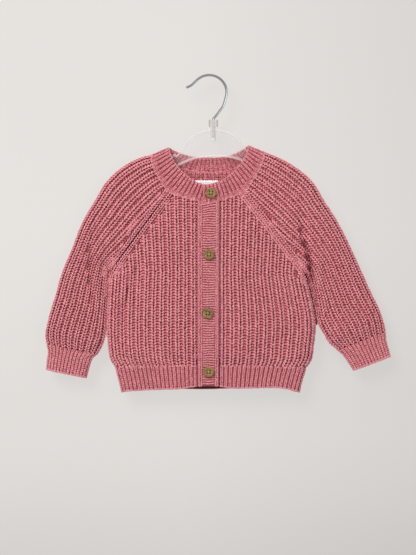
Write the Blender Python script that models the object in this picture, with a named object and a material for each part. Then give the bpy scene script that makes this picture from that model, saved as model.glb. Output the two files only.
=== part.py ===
"""A knitted baby cardigan with raglan sleeves, buttoned and hung on a clear plastic hanger.

Every piece of knitting is one wall of its own. The garment hangs flat: its front is the
surface y = -depth and its back the surface y = +depth, and the depth falls to nothing, round a
soft fold, at the outlines of the body and the sleeves. Tables and sizes are in millimetres,
seen from the front: x to the viewer's right, which is the wearer's left, and z up. The origin
is the inner top of the hook's crook.
"""

import math

import bmesh
import bpy
import numpy as np
from mathutils import Matrix

# ------------------------------------------------------------------ driving sizes, millimetres

MM = 0.001
SEAM_GAP = 0.3
HALF_GAP = SEAM_GAP / 2

WALL = 2.2                  # the knitting behind the ribs
RIB_RISE = 1.1              # half-cardigan ribs of the body and sleeves
FINE_RISE = 0.7             # close ribs of hem, cuffs and neckband
NECK_PITCH = 4.3            # from one rib of the neckband to the next

FOLD_REACH = 15.0           # the cloth rounds over this far in from an outline
FOLD_DEPTH = 10.0           # half the thickness of a sleeve
CHEST_FILL = 4.0            # and what the body has more than that
CHEST_FROM = 30.0
CHEST_REACH = 55.0
AT_FOLD = 0.2               # nearer than this, a point counts as on the outline

HEM_FLAT = 0.80             # hem and cuffs are drawn in, so they are thinner than the cloth above
CUFF_FLAT = 0.72
BLOUSE = 17.0               # height over which the body swells out above its hem
BLOUSE_SHARE = 0.08         # the same above a cuff, as a share of the sleeve's length

FRONT_RIBS = 12
BACK_RIBS = 25
SLEEVE_RIBS = 7             # on each face
CUFF_RIBS = 10              # on each face
FRONT_HEM_RIBS = 23
BACK_HEM_RIBS = 48

LAP_SHIFT = 1.6             # how far the lapped front edges move apart, out and in
LAP_BLEND = 9.0

BUTTON_RADIUS = 6.25
BUTTON_THICK = 2.4
BUTTON_HOLE_RADIUS = 0.75
BUTTON_HOLE_PLACE = 1.4

LABEL_SPAN = (-17.6, 11.0)
LABEL_TOP = -124.0
LABEL_TALL = 36.0
LABEL_THICK = 1.0
LABEL_CLEAR = 1.2           # it hangs a little off the knitting behind it

WIRE_RADIUS = 1.5
HANGER_X = 4.4
HANGER_TILT = 1.0           # degrees, the wearer's left end up
PLATE_HALF = 2.0
WEB_HALF = 0.9
RIM_WIDE = 3.2
NECK_RADIUS = 3.6
NECK_TOP = -52.5
NECK_FOOT = -78.0
SHAFT_FOOT = -73.5
SHAFT_CLEAR = 0.3

# ------------------------------------------------------------------ outlines, columns x and z

SLEEVE_OUTER = {            # from the cuff's seam up and over the shoulder to the neckband's seam
    "right": [(-196, -321), (-197.3, -313), (-193.7, -292), (-185.3, -263.6), (-177, -234.8),
              (-165, -206), (-152, -173.5), (-137.3, -148.4), (-124, -126.8), (-109.7, -112.4),
              (-84.5, -98), (-69.5, -93.7)],
    "left": [(211.9, -305.6), (209.5, -295), (203.5, -278), (196.3, -263.6), (183, -234.8),
             (170, -206), (155.5, -177), (137.5, -148.4), (124.3, -126.8), (108.7, -112.4),
             (84.7, -98), (66.7, -90.8)],
}
SLEEVE_INNER = {            # from the cuff's seam up the fold to the underarm
    "right": [(-133, -333), (-126.8, -322), (-123.9, -309), (-122.6, -285), (-119.8, -234.8)],
    "left": [(152.8, -328.4), (143.5, -321), (135.5, -308), (129.2, -297), (124.4, -270),
             (116.4, -238)],
}
CUFF_OUTER = {              # from the seam to the open end
    "right": [(-196, -321), (-193.9, -329), (-195, -340), (-196, -351)],
    "left": [(211.9, -305.6), (212.2, -315), (214.8, -325.5), (217.4, -335.4)],
}
CUFF_INNER = {
    "right": [(-133, -333), (-139.5, -338), (-143.5, -349), (-147, -361.4)],
    "left": [(152.8, -328.4), (159.5, -334.3), (166, -343.2), (172.0, -352.5)],
}
BODY_SIDE = {               # from the underarm down to the hem rib's seam
    "right": [(-119.0, -234.8), (-121.2, -262), (-122.4, -290), (-122.4, -312), (-121.4, -326),
              (-118.6, -340), (-113.9, -347.6)],
    "left": [(115.6, -238), (122.0, -265), (126.8, -288), (127.6, -303), (125.5, -322),
             (122.2, -341), (117, -348.6)],
}
HEM_SIDE = {                # from that seam to the bottom corner
    "right": [(-113.9, -347.6), (-111.4, -357), (-108.6, -368), (-106, -378.6)],
    "left": [(117, -348.6), (114.3, -357), (111.3, -368), (108.7, -378.6)],
}
NECK_TIP = {"right": (-49.7, -85.5), "left": (47.5, -83.0)}

# The neckband's seam on the front, from the shoulder's fold to the lapped end; the row named
# by NECK_CORNER is where the raglan seam meets it.
FRONT_NECK_SEAM = {
    "right": [(-69.5, -93.7), (-68.4, -106), (-62.4, -119.2), (-48.2, -138.8), (-35, -144.6),
              (-22.7, -148), (-8.9, -150.8), (11.5, -152.2)],
    "left": [(66.7, -90.8), (63.6, -104), (53.5, -123), (39.6, -140.2), (30, -144.6),
             (19.7, -147.8), (8, -151.4), (-8.2, -154.6)],
}
BACK_NECK_SEAM = {          # from the shoulder's fold to the middle of the back
    "right": [(-69.5, -93.7), (-64, -97.5), (-56, -101.5), (-44, -106.8), (-30, -111), (-15, -114),
              (0, -115)],
    "left": [(66.7, -90.8), (61.5, -95.5), (53.5, -100), (42, -105.4), (29, -110.6), (15, -113.8),
             (0, -115)],
}
NECK_CORNER = 3
FRONT_NECK_EDGE = {         # the open edge on the front, from the tip to the lapped end
    "right": [(-49.7, -85.5), (-45.4, -97), (-38.3, -109.3), (-29.3, -118.6), (-19.9, -125.6),
              (-7.7, -130.4), (11.5, -132)],
    "left": [(47.5, -83), (43.8, -95.5), (33.8, -110.6), (22.8, -121), (11.3, -127.7),
             (3, -130.2), (-8.2, -131.8)],
}
BACK_NECK_EDGE = {          # the open edge on the back, from the tip to the middle
    "right": [(-49.7, -85.5), (-40, -90.4), (-28, -94.6), (-14, -97), (0, -97.6)],
    "left": [(47.5, -83), (38.5, -89), (27.5, -94), (14, -96.8), (0, -97.6)],
}
BAND_EDGE = {               # the front band's long edges: x at its top and at its bottom
    "right": (-14.8, -14.3),
    "left": (12.6, 11.7),
}
BAND_TOP = -151.5
BAND_BOTTOM = -371.0
BAND_CLEAR = 0.5            # from the neckband's seam down to the bands' own tops
FRONT_HEM = [(-106, -378.6), (-98, -376.8), (-83, -375.8), (-64, -374.8), (-35, -373.6),
             (-13, -370.6), (10, -370.6), (22, -372.4), (51, -372.9), (75, -372.6), (90, -373.6),
             (99, -376.0), (108.7, -378.6)]
BACK_HEM = [(-106, -378.6), (-98, -376.5), (-64, -374.6), (-50, -374.6), (0, -375.6), (25, -374.6),
            (51, -372.8), (75, -372.4), (90, -373.4), (99, -375.8), (108.7, -378.6)]
HEM_SEAM = [(-113.9, -347.6), (-60, -346.6), (0, -345.6), (60, -346.6), (117, -348.6)]

# ------------------------------------------------------------------ hanger, buttons

BUTTONS = [(1.8, -141.0), (-0.4, -213.9), (-2.0, -283.8), (-0.9, -353.5)]

HANGER_ARM = [              # columns: out from the middle, top edge z, bottom edge z
    (0.0, -62.5, -97.0),
    (7.0, -62.8, -97.1),
    (14.0, -64.4, -97.8),
    (21.0, -67.2, -98.9),
    (27.0, -71.2, -100.6),
    (33.0, -77.6, -102.9),
    (37.5, -84.6, -105.0),
    (41.5, -91.0, -107.0),
    (44.3, -93.4, -108.2),
    (46.2, -91.9, -109.0),
    (48.4, -92.0, -109.8),
    (50.4, -95.8, -110.6),
    (56.0, -98.4, -112.4),
    (66.0, -101.0, -116.2),
    (78.0, -105.5, -121.6),
    (92.0, -114.5, -130.2),
    (104.0, -123.5, -138.0),
    (110.0, -129.0, -141.6),
    (113.5, -134.5, -142.0),
]
HOOK_LINE = [(-27.7, -13.6), (-22.6, -11.3)]                # the flared tip
HOOK_CENTRE = (-0.3, -19.4)
HOOK_RADIUS = 20.9
HOOK_ARC = (128, -22, 15)                                   # degrees from, to, and stations
HOOK_TAIL = [(16.9, -34.8), (12.0, -42.0), (8.2, -47.2), (5.4, -50.2)]

# ------------------------------------------------------------------ lines and the depth of the cloth


def smooth_line(table, per_span=8):
    """A smooth line through a table's points."""
    p = np.array(table, float)
    along = np.concatenate([[0.0], np.cumsum(np.hypot(*np.diff(p, axis=0).T))])
    slope = np.gradient(p, along, axis=0)
    pieces = []
    for i in range(len(p) - 1):
        h = along[i + 1] - along[i]
        t = np.linspace(0, 1, per_span, endpoint=False)[:, None]
        pieces.append((2 * t**3 - 3 * t**2 + 1) * p[i] + (t**3 - 2 * t**2 + t) * h * slope[i]
                      + (3 * t**2 - 2 * t**3) * p[i + 1] + (t**3 - t**2) * h * slope[i + 1])
    return np.vstack(pieces + [p[-1:]])


def lengths(line):
    """Length along a line at each of its points, flat or in space."""
    steps = np.linalg.norm(np.diff(line, axis=0), axis=1)
    return np.concatenate([[0.0], np.cumsum(steps)])


def at_shares(line, shares):
    """Points at shares of a line's length."""
    along = lengths(line)
    wanted = np.asarray(shares) * along[-1]
    return np.stack([np.interp(wanted, along, line[:, i]) for i in range(line.shape[1])], axis=1)


def unit(vectors):
    return vectors / np.linalg.norm(vectors, axis=-1)[..., None]


def smooth_step(share):
    s = np.clip(share, 0.0, 1.0)
    return s * s * (3 - 2 * s)


def fold_lines():
    """The outlines where front and back meet, as short straight pieces with the way in from each."""
    starts, ends, ways_in = [], [], []
    for side, turn in (("right", 1), ("left", -1)):
        shoulder = np.vstack([smooth_line(SLEEVE_OUTER[side]), [NECK_TIP[side]]])
        # The cloth lies to the right of a line whose turn is 1, seen along the line.
        for line, hand in ((shoulder, turn), (smooth_line(CUFF_OUTER[side]), -turn),
                           (smooth_line(SLEEVE_INNER[side]), -turn),
                           (smooth_line(CUFF_INNER[side]), turn),
                           (smooth_line(BODY_SIDE[side]), -turn),
                           (smooth_line(HEM_SIDE[side]), -turn)):
            run = unit(np.diff(line, axis=0))
            starts.append(line[:-1])
            ends.append(line[1:])
            ways_in.append(hand * np.stack([run[:, 1], -run[:, 0]], axis=1))
    return np.vstack(starts), np.vstack(ends), np.vstack(ways_in)


FOLD_START, FOLD_END, FOLD_IN = fold_lines()


def nearest_fold(points):
    """Distance of flat points from the nearest outline, and the way straight in from it."""
    run = FOLD_END - FOLD_START
    size = np.maximum((run**2).sum(axis=1), 1e-12)
    rel = points[:, None, :] - FOLD_START[None]
    share = np.clip((rel * run[None]).sum(axis=2) / size[None], 0, 1)
    off = rel - share[..., None] * run[None]
    far = np.linalg.norm(off, axis=2)
    pick = far.argmin(axis=1)
    rows = np.arange(len(points))
    distance = np.maximum(far[rows, pick], 1e-9)
    on_line = (distance < AT_FOLD)[:, None]
    return distance, np.where(on_line, FOLD_IN[pick], off[rows, pick] / distance[:, None])


def depth_of(distance):
    """Half the garment's thickness at a distance from its outline, and how fast it grows."""
    inset = np.clip(1 - distance / FOLD_REACH, 0, 1)
    root = np.sqrt(np.maximum(1 - inset**2, 1e-9))
    fill = np.clip((distance - CHEST_FROM) / CHEST_REACH, 0, 1)
    depth = FOLD_DEPTH * root + CHEST_FILL * smooth_step(fill)
    growth = FOLD_DEPTH * inset / (FOLD_REACH * root) + CHEST_FILL * 6 * fill * (1 - fill) / CHEST_REACH
    return depth, growth


def on_cloth(flat_points, face, flatness=1.0, shift=0.0):
    """Points of the garment's outer surface and the directions straight out of it.

    face is -1 on the front, 1 on the back and 0 on an outline; flatness thins the garment, and
    shift moves the surface out.
    """
    shape = flat_points.shape[:-1]
    points = flat_points.reshape(-1, 2)
    face = np.broadcast_to(face, shape).reshape(-1).astype(float)
    flatness = np.broadcast_to(flatness, shape).reshape(-1)
    shift = np.broadcast_to(shift, shape).reshape(-1)
    distance, inward = nearest_fold(points)
    depth, growth = depth_of(distance)
    y = face * np.maximum(depth * flatness, HALF_GAP)
    lean = np.where(face == 0, 1e6, growth * flatness)
    out = np.stack([-lean * inward[:, 0], face, -lean * inward[:, 1]], axis=1)
    out /= np.linalg.norm(out, axis=1)[:, None]
    place = np.stack([points[:, 0], y, points[:, 1]], axis=1) + shift[:, None] * out
    return place.reshape(*shape, 3), out.reshape(*shape, 3)


def stand_on_seam(out, flat, rows=(), columns=(), loose=()):
    """Turn the directions along some edges of a grid so that the wall stands straight on its seam.

    rows are whole rows; columns are pairs of a column and the row that its seam starts from.
    The columns named in loose keep their own direction.
    """
    edges = [(flat[r], out[r], loose) for r in rows]
    edges += [(flat[start:, c], out[start:, c], ()) for c, start in columns]
    for line, ways, kept in edges:
        run = np.gradient(line, axis=0)
        size = np.linalg.norm(run, axis=1)
        for k in np.flatnonzero(size < size.mean() * 0.02):
            run[k] = run[k - 1]
        run /= np.linalg.norm(run, axis=1)[:, None]
        across = np.stack([-run[:, 1], np.zeros(len(run)), run[:, 0]], axis=1)
        across[list(kept)] = 0
        ways -= (ways * across).sum(axis=1)[:, None] * across
        ways /= np.linalg.norm(ways, axis=1)[:, None]


def spread_row(line, shares, face, flatness=1.0):
    """Flat points along a line, at shares of its length measured over the curved cloth."""
    fine = at_shares(line, (1 - np.cos(np.linspace(0, np.pi, 60))) / 2)
    solid, _ = on_cloth(fine, face, flatness)
    along = lengths(solid)
    wanted = np.asarray(shares) * along[-1]
    return np.stack([np.interp(wanted, along, fine[:, i]) for i in range(2)], axis=1)


# ------------------------------------------------------------------ making the solids


def new_material(name, colour, roughness, metallic=0.0, alpha=1.0):
    material = bpy.data.materials.new(name)
    material.use_nodes = True
    shader = material.node_tree.nodes["Principled BSDF"]
    shader.inputs["Base Color"].default_value = (*colour, 1.0)
    shader.inputs["Roughness"].default_value = roughness
    shader.inputs["Metallic"].default_value = metallic
    shader.inputs["Alpha"].default_value = alpha
    return material


def add_object(name, bm, material, smooth_angle=50):
    """One closed mesh, drawn in millimetres, as an object in metres."""
    bmesh.ops.recalc_face_normals(bm, faces=bm.faces)
    if bm.calc_volume(signed=True) < 0:
        bmesh.ops.reverse_faces(bm, faces=bm.faces)
    for vert in bm.verts:
        vert.co *= MM
    mesh = bpy.data.meshes.new(name)
    bm.to_mesh(mesh)
    bm.free()
    mesh.materials.append(material)
    mesh.shade_smooth()
    mesh.set_sharp_from_angle(angle=math.radians(smooth_angle))
    obj = bpy.data.objects.new(name, mesh)
    bpy.context.collection.objects.link(obj)
    return obj


def cloth_solid(name, surface, out, heights, steps, rise, material, wall=WALL):
    """A wall of knitting: ribs raised on its outer points, over a plain inside.

    surface and out hold rows of points at the ribs' crests, heights is each column's share of
    a rib, and the inside has every steps-th column.
    """
    outer = surface - out * (rise * (1 - heights))[None, :, None]
    inner = (surface - out * (rise + wall))[:, ::steps]
    rows, columns = outer.shape[:2]
    bm = bmesh.new()
    o = [[bm.verts.new(p) for p in row] for row in outer]
    i = [[bm.verts.new(p) for p in row] for row in inner]
    for r in range(rows - 1):
        for c in range(columns - 1):
            bm.faces.new((o[r][c], o[r][c + 1], o[r + 1][c + 1], o[r + 1][c]))
        for c in range(len(i[0]) - 1):
            bm.faces.new((i[r][c], i[r + 1][c], i[r + 1][c + 1], i[r][c + 1]))
        for end in (0, -1):
            bm.faces.new((o[r][end], o[r + 1][end], i[r + 1][end], i[r][end]))
    for r in (0, rows - 1):
        for c in range(len(i[0]) - 1):
            for k in range(steps):
                bm.faces.new((i[r][c], o[r][c * steps + k], o[r][c * steps + k + 1]))
            bm.faces.new((i[r][c], o[r][(c + 1) * steps], i[r][c + 1]))
    return add_object(name, bm, material)


def rib_heights(ribs, steps):
    """Each column's share of a rib's height: a groove, then the crest."""
    return np.array(([0.0] + [1.0] * (steps - 1)) * ribs + [0.0])


def shares_of(ribs, steps):
    return np.linspace(0, 1, ribs * steps + 1)


# ------------------------------------------------------------------ the body


def band_x(side, z):
    """x of the front band's edge at a height."""
    top, bottom = BAND_EDGE[side]
    return top + (bottom - top) * (np.asarray(z) - BAND_TOP) / (BAND_BOTTOM - BAND_TOP)


def side_x(side, z):
    """x of the body's side at a height; over the underarm it fans gently outward."""
    line = smooth_line(BODY_SIDE[side])[::-1]
    underarm = line[-1]
    over = np.maximum(np.asarray(z) - underarm[1], 0)
    return np.interp(z, line[:, 1], line[:, 0]) * (1 + 0.0008 * over)


def body_flatness(z):
    return HEM_FLAT + (1 - HEM_FLAT) * smooth_step((z - HEM_SEAM[0][1]) / BLOUSE)


def raglan_line(side, neck_seam):
    """From the underarm straight to the corner at the neckband."""
    return np.array([BODY_SIDE[side][0], neck_seam[side][NECK_CORNER]], float)


def top_edge(side, neck_seam):
    """A panel's upper outline, from the underarm over the raglan seam and along the neckband."""
    seam = smooth_line(neck_seam[side])
    corner = np.abs(seam[:, 0] - neck_seam[side][NECK_CORNER][0]).argmin()
    return np.vstack([raglan_line(side, neck_seam)[:1], seam[corner:]])


def panel_grid(edge_a, edge_b, upper, ribs, rows, face):
    """Flat points of a body panel whose ribs run straight up until its upper outline cuts them.

    edge_a and edge_b give x at a height on its two long edges.
    """
    upper = upper[upper[:, 0].argsort()]
    level = -300.0
    ends = np.array([[edge_a(level), level], [edge_b(level), level]])
    even = spread_row(ends, shares_of(ribs, 3), face)
    across = (even[:, 0] - ends[0, 0]) / (ends[1, 0] - ends[0, 0])
    hem = np.array(HEM_SEAM, float)
    heights = np.linspace(-352, -90, 1200)
    grid = np.zeros((len(rows), len(across), 2))
    for c, share in enumerate(np.clip(across, 1e-6, 1 - 1e-6)):
        x = edge_a(heights) + share * (edge_b(heights) - edge_a(heights))
        inside = heights < np.interp(x, upper[:, 0], upper[:, 1]) - 0.25
        high = heights[inside.argmin() - 1]
        low = np.interp(x[0], hem[:, 0], hem[:, 1]) + HALF_GAP
        grid[:, c, 1] = low + rows * (high - low)
        grid[:, c, 0] = np.interp(grid[:, c, 1], heights, x)
    return grid


PANEL_ROWS = np.array([0, 0.025, 0.06, 0.12, 0.24, 0.38, 0.52, 0.66, 0.80, 0.92, 1.0])


def front_panel(side, material):
    upper = top_edge(side, FRONT_NECK_SEAM)
    clear = HALF_GAP if side == "left" else -HALF_GAP

    def inner_edge(z):
        return band_x(side, z) + clear

    def outer_edge(z):
        return side_x(side, z)

    grid = panel_grid(inner_edge, outer_edge, upper, FRONT_RIBS, PANEL_ROWS, -1)
    surface, out = on_cloth(grid, -1, body_flatness(grid[..., 1]))
    stand_on_seam(out, grid, rows=(0, -1))
    return cloth_solid(f"front_{side}_panel", surface, out, rib_heights(FRONT_RIBS, 3), 3,
                       RIB_RISE, material)


def back_panel(material):
    upper = np.vstack([top_edge("right", BACK_NECK_SEAM), top_edge("left", BACK_NECK_SEAM)[-2::-1]])

    def right_edge(z):
        return side_x("right", z)

    def left_edge(z):
        return side_x("left", z)

    grid = panel_grid(right_edge, left_edge, upper, BACK_RIBS, PANEL_ROWS, 1)
    surface, out = on_cloth(grid, 1, body_flatness(grid[..., 1]))
    stand_on_seam(out, grid, rows=(0, -1))
    return cloth_solid("back_panel", surface, out, rib_heights(BACK_RIBS, 3), 3, RIB_RISE,
                       material)


def hem_rib(name, start, end, bottom, ribs, face, material):
    """A ribbed strip from the hem's seam down, between two long edges given as tables."""
    rows = np.linspace(0, 1, 4)
    a = at_shares(np.array(start, float), rows)
    b = at_shares(np.array(end, float), rows)
    seam = np.array(HEM_SEAM, float)
    low = smooth_line(bottom)
    grid = []
    for r, share in enumerate(rows):
        x = np.linspace(a[r, 0], b[r, 0], 60)
        reach = (x - x[0]) / (x[-1] - x[0])
        top_z = np.interp(a[0, 0] + reach * (b[0, 0] - a[0, 0]), seam[:, 0], seam[:, 1])
        low_z = np.interp(a[-1, 0] + reach * (b[-1, 0] - a[-1, 0]), low[:, 0], low[:, 1])
        z = (top_z - HALF_GAP) * (1 - share) + low_z * share
        line = np.stack([x, z], axis=1)
        inset = (line[-1] - line[0]) * 1e-6
        line[0] += inset
        line[-1] -= inset
        grid.append(spread_row(line, shares_of(ribs, 2), face, HEM_FLAT))
    surface, out = on_cloth(np.array(grid), face, HEM_FLAT)
    stand_on_seam(out, np.array(grid), rows=(0,))
    return cloth_solid(name, surface, out, rib_heights(ribs, 2), 2, FINE_RISE, material)


def hem_ribs(material):
    for side, clear in (("right", -HALF_GAP), ("left", HALF_GAP)):
        seam_z, low_z = HEM_SEAM[2][1], BAND_BOTTOM
        inner = [(band_x(side, seam_z) + clear, seam_z), (band_x(side, low_z) + clear, low_z)]
        hem_rib(f"hem_rib_front_{side}", inner, HEM_SIDE[side], FRONT_HEM, FRONT_HEM_RIBS, -1,
                material)
    hem_rib("hem_rib_back", HEM_SIDE["right"], HEM_SIDE["left"], BACK_HEM, BACK_HEM_RIBS, 1,
            material)


# ------------------------------------------------------------------ the sleeves and cuffs

UNDERARM_SHARE = 0.42
SLEEVE_ROWS = np.array([0, 0.02, 0.05, 0.10, 0.18, 0.26, 0.34, UNDERARM_SHARE, 0.50, 0.59, 0.68,
                        0.77, 0.86, 0.94, 1.0])


def neck_part(side, neck_seam):
    """The stretch of the neckband's seam that the sleeve's top joins, from corner to fold."""
    seam = smooth_line(neck_seam[side])
    corner = np.abs(seam[:, 0] - neck_seam[side][NECK_CORNER][0]).argmin()
    return seam[:corner + 1][::-1]


def sleeve_face(side, neck_seam, face):
    """Flat points of one face of a sleeve: rows from cuff to neck, columns from fold to fold."""
    outer = at_shares(smooth_line(SLEEVE_OUTER[side]), SLEEVE_ROWS)
    below = SLEEVE_ROWS[SLEEVE_ROWS <= UNDERARM_SHARE] / UNDERARM_SHARE
    above = (SLEEVE_ROWS[SLEEVE_ROWS > UNDERARM_SHARE] - UNDERARM_SHARE) / (1 - UNDERARM_SHARE)
    raglan = raglan_line(side, neck_seam)
    along = (raglan[1] - raglan[0]) / np.linalg.norm(raglan[1] - raglan[0])
    away = np.array([-along[1], along[0]]) * (1 if side == "right" else -1)
    inner = np.vstack([at_shares(smooth_line(SLEEVE_INNER[side]), below),
                       at_shares(raglan + away * HALF_GAP, above)])
    top = at_shares(neck_part(side, neck_seam), np.linspace(0, 1, 60))
    bow = top - (top[0] + np.linspace(0, 1, 60)[:, None] * (top[-1] - top[0]))
    grid = []
    for r, share in enumerate(SLEEVE_ROWS):
        reach = np.linspace(1e-6, 1 - 1e-6, 60)[:, None]
        line = inner[r] + reach * (outer[r] - inner[r]) + bow * share**3
        flatness = sleeve_flatness(share)
        if r == 0:
            line[:, 1] += HALF_GAP
        grid.append(spread_row(line, shares_of(SLEEVE_RIBS, 3), face, flatness))
    grid = np.array(grid)
    grid[-1] += HALF_GAP * unit(grid[-2] - grid[-1])
    return grid


def sleeve_flatness(share):
    return CUFF_FLAT + (1 - CUFF_FLAT) * smooth_step(share / BLOUSE_SHARE)


def wrap(front, back, flatness):
    """Front and back faces as one sheet round the outer fold, open only along the inner one."""
    flat = np.concatenate([front, back[:, -2::-1]], axis=1)
    face = np.concatenate([-np.ones(front.shape[1] - 1), [0], np.ones(back.shape[1] - 1)])
    surface, out = on_cloth(flat, face[None, :], flatness)
    return flat, surface, out


def sleeve(side, material):
    front = sleeve_face(side, FRONT_NECK_SEAM, -1)
    back = sleeve_face(side, BACK_NECK_SEAM, 1)
    flat, surface, out = wrap(front, back, sleeve_flatness(SLEEVE_ROWS)[:, None])
    underarm = int(np.abs(SLEEVE_ROWS - UNDERARM_SHARE).argmin())
    stand_on_seam(out, flat, rows=(0,))
    fold = front.shape[1] - 1
    stand_on_seam(out, flat, rows=(-1,), columns=((0, underarm), (-1, underarm)), loose=(fold,))
    return cloth_solid(f"sleeve_{side}", surface, out, rib_heights(2 * SLEEVE_RIBS, 3), 3,
                       RIB_RISE, material)


def cuff(side, material):
    rows = np.linspace(0, 1, 5)
    outer = at_shares(smooth_line(CUFF_OUTER[side]), rows)
    inner = at_shares(smooth_line(CUFF_INNER[side]), rows)
    grid = []
    for r in range(len(rows)):
        reach = np.linspace(1e-6, 1 - 1e-6, 60)[:, None]
        line = inner[r] + reach * (outer[r] - inner[r])
        if r == 0:
            line[:, 1] -= HALF_GAP
        grid.append(spread_row(line, shares_of(CUFF_RIBS, 2), -1, CUFF_FLAT))
    face = np.array(grid)
    flat, surface, out = wrap(face, face, CUFF_FLAT)
    stand_on_seam(out, flat, rows=(0,))
    return cloth_solid(f"cuff_{side}", surface, out, rib_heights(2 * CUFF_RIBS, 2), 2, FINE_RISE,
                       material)


# ------------------------------------------------------------------ neckband, front bands, label


def neckband(material):
    """One ribbed band round the neck, from the under lap over the back to the upper lap."""
    rows = np.linspace(0, 1, 4)
    parts = [
        (FRONT_NECK_SEAM["right"][::-1], FRONT_NECK_EDGE["right"][::-1], -1),
        (BACK_NECK_SEAM["right"], BACK_NECK_EDGE["right"], 1),
        (BACK_NECK_SEAM["left"][::-1], BACK_NECK_EDGE["left"][::-1], 1),
        (FRONT_NECK_SEAM["left"], FRONT_NECK_EDGE["left"], -1),
    ]
    flat, faces, ribs_in_all = [], [], 0
    for number, (seam_table, edge_table, face) in enumerate(parts):
        seam = smooth_line(seam_table)
        edge = smooth_line(edge_table)
        middle = (at_shares(seam, np.linspace(0, 1, 60)) + at_shares(edge, np.linspace(0, 1, 60))) / 2
        ribs = round(lengths(on_cloth(middle, face)[0])[-1] / NECK_PITCH)
        ribs_in_all += ribs
        shares = shares_of(ribs, 2)
        lines = []
        for row in rows:
            line = (1 - row) * at_shares(seam, np.linspace(0, 1, 60))
            line += row * at_shares(edge, np.linspace(0, 1, 60))
            lines.append(spread_row(line, shares, face))
        grid = np.array(lines)
        kind = np.full(grid.shape[1], float(face))
        kind[-1 if number in (0, 2) else 0] = 0     # the column that lies in the shoulder's fold
        first = 0 if number == 0 else 1
        flat.append(grid[:, first:])
        faces.append(kind[first:])
    flat = np.concatenate(flat, axis=1)
    faces = np.concatenate(faces)
    inward = flat.mean(axis=(0, 1)) - flat
    flat = flat + inward * 1e-6
    flat[0] += HALF_GAP * unit(flat[1] - flat[0])
    x = flat[..., 0]
    column = np.arange(flat.shape[1])[None, :]
    first_half = column < flat.shape[1] / 2
    under = -LAP_SHIFT * smooth_step((x + 20) / LAP_BLEND)
    over = LAP_SHIFT * smooth_step((21 - x) / LAP_BLEND)
    shift = np.where(faces[None, :] < 0, np.where(first_half, under, over), 0.0)
    surface, out = on_cloth(flat, faces[None, :], 1.0, shift)
    stand_on_seam(out, flat, rows=(0,), loose=np.flatnonzero(faces == 0))
    return cloth_solid("neckband", surface, out, rib_heights(ribs_in_all, 2), 2, FINE_RISE,
                       material)


BAND_ACROSS = [             # columns: share across the band, share of its rise
    (0.00, 0.2), (0.04, 1.0), (0.10, 1.0), (0.14, 0.3), (0.50, 0.6),
    (0.86, 0.3), (0.90, 1.0), (0.96, 1.0), (1.00, 0.2),
]


def front_band(name, left_inset, side, shift, material):
    """A straight band down the front: selvedges stand up along both long edges."""
    across = np.array(BAND_ACROSS)
    top = smooth_line(FRONT_NECK_SEAM[side])
    top = top[top[:, 0].argsort()]
    rows = np.concatenate([np.linspace(0, 0.8, 8), np.linspace(0.84, 1, 6)])
    grid = np.zeros((len(rows), len(across), 2))
    for c, share in enumerate(across[:, 0]):
        for r, drop in enumerate(rows):
            z = BAND_TOP + (BAND_BOTTOM - BAND_TOP) * drop
            left = band_x("left", z) - HALF_GAP - left_inset
            right = band_x("right", z) + HALF_GAP
            x = right + (left - right) * share
            high = np.interp(x, top[:, 0], top[:, 1]) - BAND_CLEAR
            grid[r, c] = (x, high + (BAND_BOTTOM - high) * drop)
    surface, out = on_cloth(grid, -1, body_flatness(grid[..., 1]), shift)
    return cloth_solid(name, surface, out, across[:, 1], 4, FINE_RISE, material)


def front_bands(material):
    front_band("buttonhole_band", 0.0, "left", LAP_SHIFT, material)
    front_band("button_band", 1.0, "right", -LAP_SHIFT, material)


def neck_label(material):
    """A small woven label flat against the inside of the back."""
    x = np.linspace(*LABEL_SPAN, 4)
    z = np.linspace(LABEL_TOP, LABEL_TOP - LABEL_TALL, 4)
    grid = np.stack(np.meshgrid(x, z), axis=2)
    inside = -(WALL + RIB_RISE + LABEL_CLEAR)
    surface, out = on_cloth(grid, 1, 1.0, inside)
    return cloth_solid("neck_label", surface, out, np.ones(4), 1, 0.0, material, wall=LABEL_THICK)


# ------------------------------------------------------------------ buttons


BUTTON_PROFILE = [          # columns: radius, height over the back of the button
    (0.0, 1.5), (3.6, 1.5), (4.7, 2.2), (5.5, BUTTON_THICK), (6.0, 2.0), (BUTTON_RADIUS, 1.3),
    (5.9, 0.4), (4.6, 0.0), (0.0, 0.0),
]


def button_mesh(material):
    """A turned disc with a raised rim, facing -y, with four holes through it."""
    bm = bmesh.new()
    verts = [bm.verts.new((r, -h, 0)) for r, h in BUTTON_PROFILE]
    for a, b in zip(verts, verts[1:]):
        bm.edges.new((a, b))
    bmesh.ops.spin(bm, geom=bm.verts[:] + bm.edges[:], angle=2 * math.pi, steps=18, axis=(0, 1, 0),
                   cent=(0, 0, 0))
    bmesh.ops.remove_doubles(bm, verts=bm.verts, dist=0.001)
    disc = add_object("button_disc", bm, material)
    cut = bmesh.new()
    for sx in (-1, 1):
        for sz in (-1, 1):
            made = bmesh.ops.create_cone(cut, cap_ends=True, segments=6, radius1=BUTTON_HOLE_RADIUS,
                                         radius2=BUTTON_HOLE_RADIUS, depth=8)["verts"]
            bmesh.ops.rotate(cut, verts=made, cent=(0, 0, 0),
                             matrix=Matrix.Rotation(math.pi / 2, 3, "X"))
            place = (sx * BUTTON_HOLE_PLACE, 0, sz * BUTTON_HOLE_PLACE)
            bmesh.ops.translate(cut, verts=made, vec=place)
    cutter = add_object("button_hole_cutter", cut, material)
    hole = disc.modifiers.new("holes", "BOOLEAN")
    hole.object = cutter
    hole.solver = "EXACT"
    evaluated = disc.evaluated_get(bpy.context.evaluated_depsgraph_get())
    mesh = bpy.data.meshes.new_from_object(evaluated)
    bpy.data.objects.remove(disc)
    bpy.data.objects.remove(cutter)
    return mesh


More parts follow.
